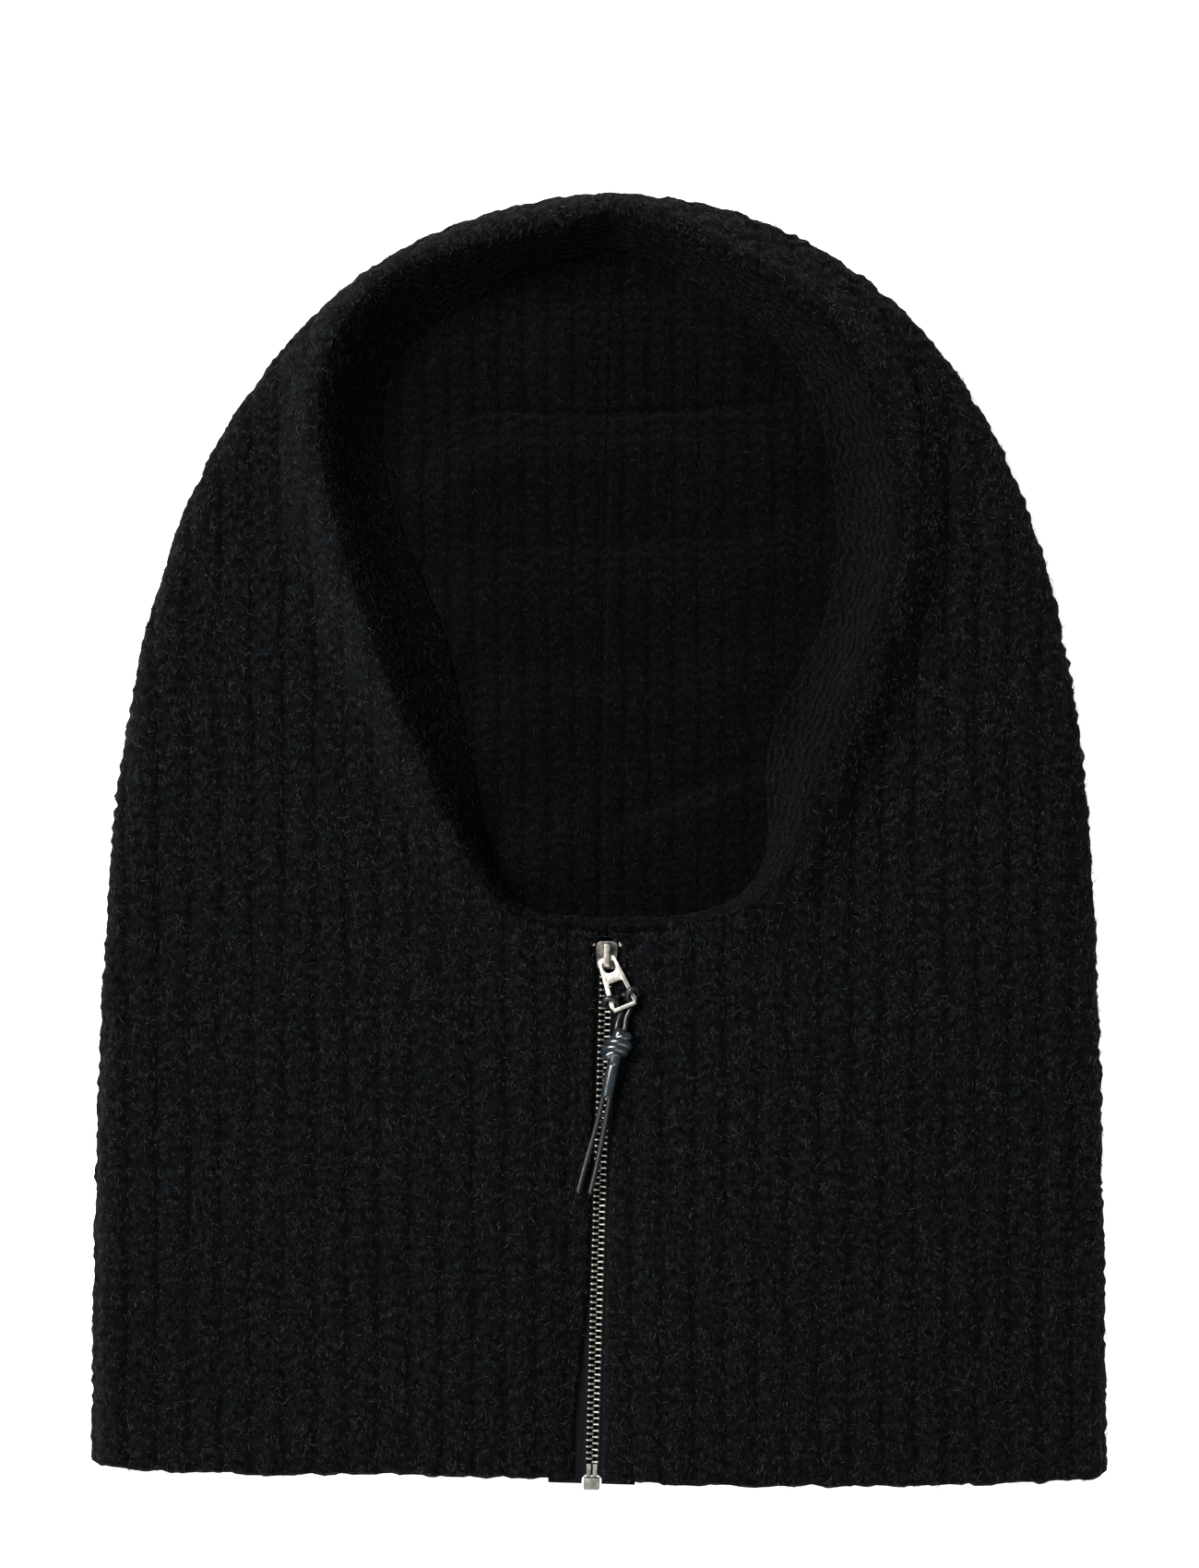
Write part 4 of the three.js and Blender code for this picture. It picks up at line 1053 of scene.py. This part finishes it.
def back_panel(side, material):
    """Half of the back layer: level underneath, turned up at the side to meet the front layer.

    Middle height = half a thickness + the rise to the fold * (1 - sqrt(1 - fold share^2)).
    """
    seam = lambda y: middle_x(y) + side * SEAM_HALF * (1 - smooth(y, SEAM_TOP_Y - 25, SEAM_TOP_Y))
    y = np.linspace(OPENING_FOOT_Y, SEAM_TOP_Y, 400)
    columns, low_rows, fan_rows = 122, 104, 218
    plan = panel_plan(side, seam, np.stack([seam(y), y], -1), columns, low_rows, fan_rows)
    x, y = plan[..., 0], plan[..., 1]
    above_hem = y - hem_y(x)
    y = y + hem_shift(x + 7, above_hem) * 0.8
    share, out, longer = fold_share(x, y)
    flat_share = np.sqrt(1 - share**2)
    z = BACK_MID + (FOLD_MID - BACK_MID) * (1 - flat_share)
    normal = unit(np.concatenate([out * share[..., None], -flat_share[..., None]], -1))
    middle = np.stack([x, y, z], -1)
    px, py = pattern_of(x, y, out, longer)
    edge = rounded_edge(above_hem)
    under = (KNIT / 2 + relief(px, py) - 0.85 * (1 - smooth(share, 0.2, 1))) * edge
    outer = middle + normal * under[..., None]
    fine = relief(px * 1.26, py * 1.2, depth=0.45) * flat_share
    inner = middle - normal * (KNIT / 2 * edge)[..., None]
    inner[..., 2] += (back_face(x, y) - KNIT + fine) * edge
    uv = np.stack([px, py], -1)
    knit = closed_sheet(f"back_{WORD[side]}_knit", outer, inner, uv, material, inner_uv=uv * 1.25)
    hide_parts(f"back_{WORD[side]}_panel")
    return knit, outer, inner


def back_seam(material):
    """The overlocked seam up the back: a narrow strip sunk between the halves, stitches across.

    Its two faces wave by 0.2 * a slanting sine and a little noise.
    """
    across = np.linspace(-1, 1, 9)
    rows = np.linspace(hem_y(0.0), SEAM_TOP_Y + 2, 560)
    gx, y = np.meshgrid(across, rows)
    x = middle_x(y) + gx * (SEAM_HALF + 0.5) * (1 - 0.8 * smooth(y, SEAM_TOP_Y - 22, SEAM_TOP_Y))
    loops = 0.2 * np.sin(y * 2.4 + gx * 2.2) + 0.12 * lattice_noise(x, y, 1.1, 12)
    edge = rounded_edge(y - hem_y(0.0))
    upper = np.stack([x, y, BACK_MID + (back_face(x, y) - BACK_MID - 0.1 + loops) * edge], -1)
    lower = np.stack([x, y, BACK_MID - (BACK_MID - 0.75 + loops * 0.7) * edge], -1)
    strip = closed_sheet("back_seam_overlock", upper, lower, np.stack([x, y], -1) * 1.6, material)
    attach(strip, "hood")
    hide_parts("centre_back_seam")
    return strip


BAND_KNIT = 3.2
BAND_FOOT, BAND_SIDE, BAND_TOP = 2.6, 20.0, 9.0  # its width above the zip, beside the face, on top


def face_band(material):
    """The knit turned in over the ridge and falling to a free edge inside the opening.

    Across, q runs from 0 on the ridge to 1 at the free edge: reach = band width * q, and the height
    falls from the ridge to the back layer by 1 - (1 - 1.16 q^2 / (q + 0.16))^1.75.
    """
    line = np.vstack([respaced(RIDGE[1], 380), respaced(RIDGE[-1], 380)[::-1][1:]])
    a = 1 - np.abs(np.linspace(-1, 1, len(line)))
    way = unit(np.gradient(line, axis=0))
    way = unit(way + np.roll(way, 1, 0) + np.roll(way, -1, 0))
    way[0], way[-1] = way[1], way[-2]
    inward = np.stack([-way[:, 1], way[:, 0]], -1)
    going_up = mix(BAND_FOOT, BAND_SIDE, smooth(a, 0.05, 0.4))
    width = np.where(a < 0.5, going_up, mix(BAND_SIDE, BAND_TOP, smooth(a, 0.6, 1)))[:, None]
    along = np.arange(len(line))[:, None] * 0.72
    width = width * (1 + 0.2 * lattice_noise(along, 0 * width, 40, 17))
    q = np.linspace(0, 1, 42)[None] ** 1.3
    reach = width * q - 0.9 * (1 - q) ** 8
    sag = lattice_noise(along, reach, 26, 13)
    x = line[:, :1] + inward[:, :1] * reach
    y = line[:, 1:] + inward[:, 1:] * reach
    drop = 1 - (1 - 1.16 * q**2 / (q + 0.16)) ** 1.75
    top = FRONT_MID + ridge_rise(a)[:, None]
    z = mix(top, back_face(x, y) + 0.45, drop) + 3.2 * sag * q * (1 - q)
    middle = np.stack([x, y, z], -1)
    normal = grid_normals(middle)
    run = np.cumsum(np.linalg.norm(np.diff(line, axis=0, prepend=line[:1]), axis=1))[:, None]
    down = np.cumsum(np.linalg.norm(np.diff(middle, axis=1, prepend=middle[:, :1]), axis=-1), axis=1)
    px, py = run + 0 * down, down + 0 * run
    edge = rounded_edge(down[:, -1:] - down, 7)
    grain = relief(px * 1.3, py * 1.3 + 3, depth=0.35) * smooth(down, 0.5, 4)
    outer = middle + normal * ((BAND_KNIT / 2 + grain) * edge)[..., None]
    inner = middle - normal * (BAND_KNIT / 2 * edge)[..., None]
    uv = np.stack([px, py], -1) * 1.25
    band = closed_sheet("face_band_knit", outer, inner, uv, material, step=FINE_ROWS)
    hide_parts("face_band")
    return band, outer


def fuzz(name, grid, material, count, seed, towards):
    """Loose fibre ends on a face: thin three-sided tubes that leave it low and bend back to it.

    Roots are spread evenly over the face's area. A fibre runs mostly along Y, turned by a normal
    spread, and its second half turns and sinks further. towards is 1 or -1, whichever makes the
    grid's normals point off the cloth.
    """
    rng = np.random.default_rng(seed)
    a, b, c = grid[:-1, :-1].reshape(-1, 3), grid[:-1, 1:].reshape(-1, 3), grid[1:, :-1].reshape(-1, 3)
    normal = np.cross(b - a, c - a)
    area = np.linalg.norm(normal, axis=1)
    pick = rng.choice(len(a), count, p=area / area.sum())
    u, v = rng.uniform(0, 1, (2, count, 1))
    n = unit(normal[pick]) * towards
    root = a[pick] + (b - a)[pick] * u + (c - a)[pick] * v
    up = unit(np.array([0.0, 1.0, 0.15]) - n * (n @ [0.0, 1.0, 0.15])[:, None])
    aside = np.cross(n, up)
    heading = rng.normal(0, 0.75, count) + math.pi * rng.integers(0, 2, count)
    size = rng.uniform(1.0, 3.0, count)
    lift = rng.uniform(0.05, 0.75, count) * rng.uniform(0.3, 1, count)
    bend = rng.normal(0, 0.6, count)
    steer = lambda angle, rise: unit(
        up * np.cos(angle)[:, None] + aside * np.sin(angle)[:, None] + n * rise[:, None]
    )
    first, second = steer(heading, lift), steer(heading + bend, lift * 0.2)
    base = root - n * 0.12
    half = (size / 2)[:, None]
    spine = np.stack([base, base + first * half, base + (first + second) * half], 1)
    ways = np.stack([first, unit(first + second), second], 1)
    side = unit(np.cross(ways, n[:, None]))
    top = np.cross(side, ways)
    taper = np.array([1, 0.8, 0.35])
    girth = (rng.uniform(0.06, 0.13, count)[:, None] * taper)[:, :, None, None]
    t = (np.arange(3) * 2 * math.pi / 3)[:, None]
    ring = np.cos(t) * side[:, :, None] + np.sin(t) * top[:, :, None]
    points = (spine[:, :, None] + girth * ring).reshape(-1, 3)
    points[:, 2] = np.maximum(points[:, 2], 0.05)
    quads = np.array([[k * 3 + i, k * 3 + (i + 1) % 3, k * 3 + 3 + (i + 1) % 3, k * 3 + 3 + i]
                      for k in range(2) for i in range(3)])
    faces = repeated([quads, np.array([[2, 1, 0]]), np.array([[6, 7, 8]])], count, 9)
    piece = outward(add_mesh(name, points, faces, material))
    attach(piece, "hood")
    return piece


def cloth(piece, width, length, area, **facts):
    """Attach a knitted piece to the hood's body. Its flat size in metres, cut area and what it lies on
    are not used.
    """
    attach(piece, "hood")


# ---- The balaclava ----

rubber = rubber_paint("rubber", (0.003, 0.0033, 0.0036), (0.010, 0.0105, 0.0115), 0.36, 0.45)
slate = rubber_paint("slate", (0.008, 0.013, 0.017), (0.022, 0.031, 0.037), 0.16, 0.9)
nickel = metal_paint("nickel", (0.36, 0.335, 0.295), (0.56, 0.525, 0.475), 0.36, 0.08)
# A darker copy of the nickel for the slider's plates: its darker tone is painted shade, not wear.
shaded_nickel = metal_paint("nickel_painted_shade", (0.13, 0.12, 0.10), (0.36, 0.33, 0.29), 0.28, 0.2)
dull = metal_paint("dull_nickel", (0.22, 0.21, 0.19), (0.42, 0.40, 0.37), 0.38, 0.2)
webbing = webbing_paint()
body_knit = knit_paint("knit", (0.0004, 0.0005, 0.0006), (0.0125, 0.0140, 0.0152))
# A darker copy of the knit, about half as bright, for the back layer: painted shade for the inside of
# the hood.
inner_knit_painted_shade = knit_paint("inner_knit_painted_shade", (0.0002, 0.0003, 0.0004), (0.0062, 0.0072, 0.0080))
# A much darker copy of the knit for the turned-in band: painted shade inside the opening's rim.
band_knit_painted_shade = knit_paint("band_knit_painted_shade", (0.0002, 0.0003, 0.0004), (0.0020, 0.0024, 0.0028))
fibre = fibre_paint("fibre", (0.007, 0.008, 0.009), (0.055, 0.060, 0.064))
# A darker copy of the fibre for the fuzz inside the hood and on the band: painted shade.
fibre_painted_shade = fibre_paint("fibre_painted_shade", (0.002, 0.0023, 0.0026), (0.020, 0.0222, 0.0245))

look()
cords(rubber, slate)
metalwork(nickel, shaded_nickel, dull)

for side in (1, -1):
    teeth(side, nickel)
    strip = tape(side, webbing)
    thread = seam_thread(side, webbing)

backs, fronts = {}, {}
for side in (1, -1):
    # The back layer takes the darker knit, painted shade.
    knit, under, inside = back_panel(side, inner_knit_painted_shade)
    opening = np.hypot((inside[..., 0] - 4) / 100, (inside[..., 1] - 78) / 132)
    seen = inside[: int((opening < 1).any(1).nonzero()[0].max()) + 1]
    loose = [
        fuzz(f"back_{WORD[side]}_fuzz", under, fibre, 6000, 31 + side, -side),
        fuzz(f"inside_{WORD[side]}_fuzz", seen, fibre_painted_shade, 8000, 41 + side, side),
    ]
    if side > 0:
        loose.append(back_seam(inner_knit_painted_shade))
    cloth(knit, 0.17, 0.42, 0.062, with_pieces=loose, rests_on=["floor"])
    backs[side] = knit
for side in (1, -1):
    knit, face = front_panel(side, body_knit)
    loose = fuzz(f"front_{WORD[side]}_fuzz", face, fibre, 13500, 51 + side, side)
    cloth(knit, 0.17, 0.42, 0.05, with_pieces=[loose], rests_on=[backs[side]])
    fronts[side] = knit
# The band wears the darker knit, painted shade.
band, face = face_band(band_knit_painted_shade)
hair = fuzz("band_fuzz", face, fibre_painted_shade, 9000, 61, 1)
cloth(band, 0.03, 0.62, None, with_pieces=[hair], rests_on=[fronts[1], fronts[-1]])
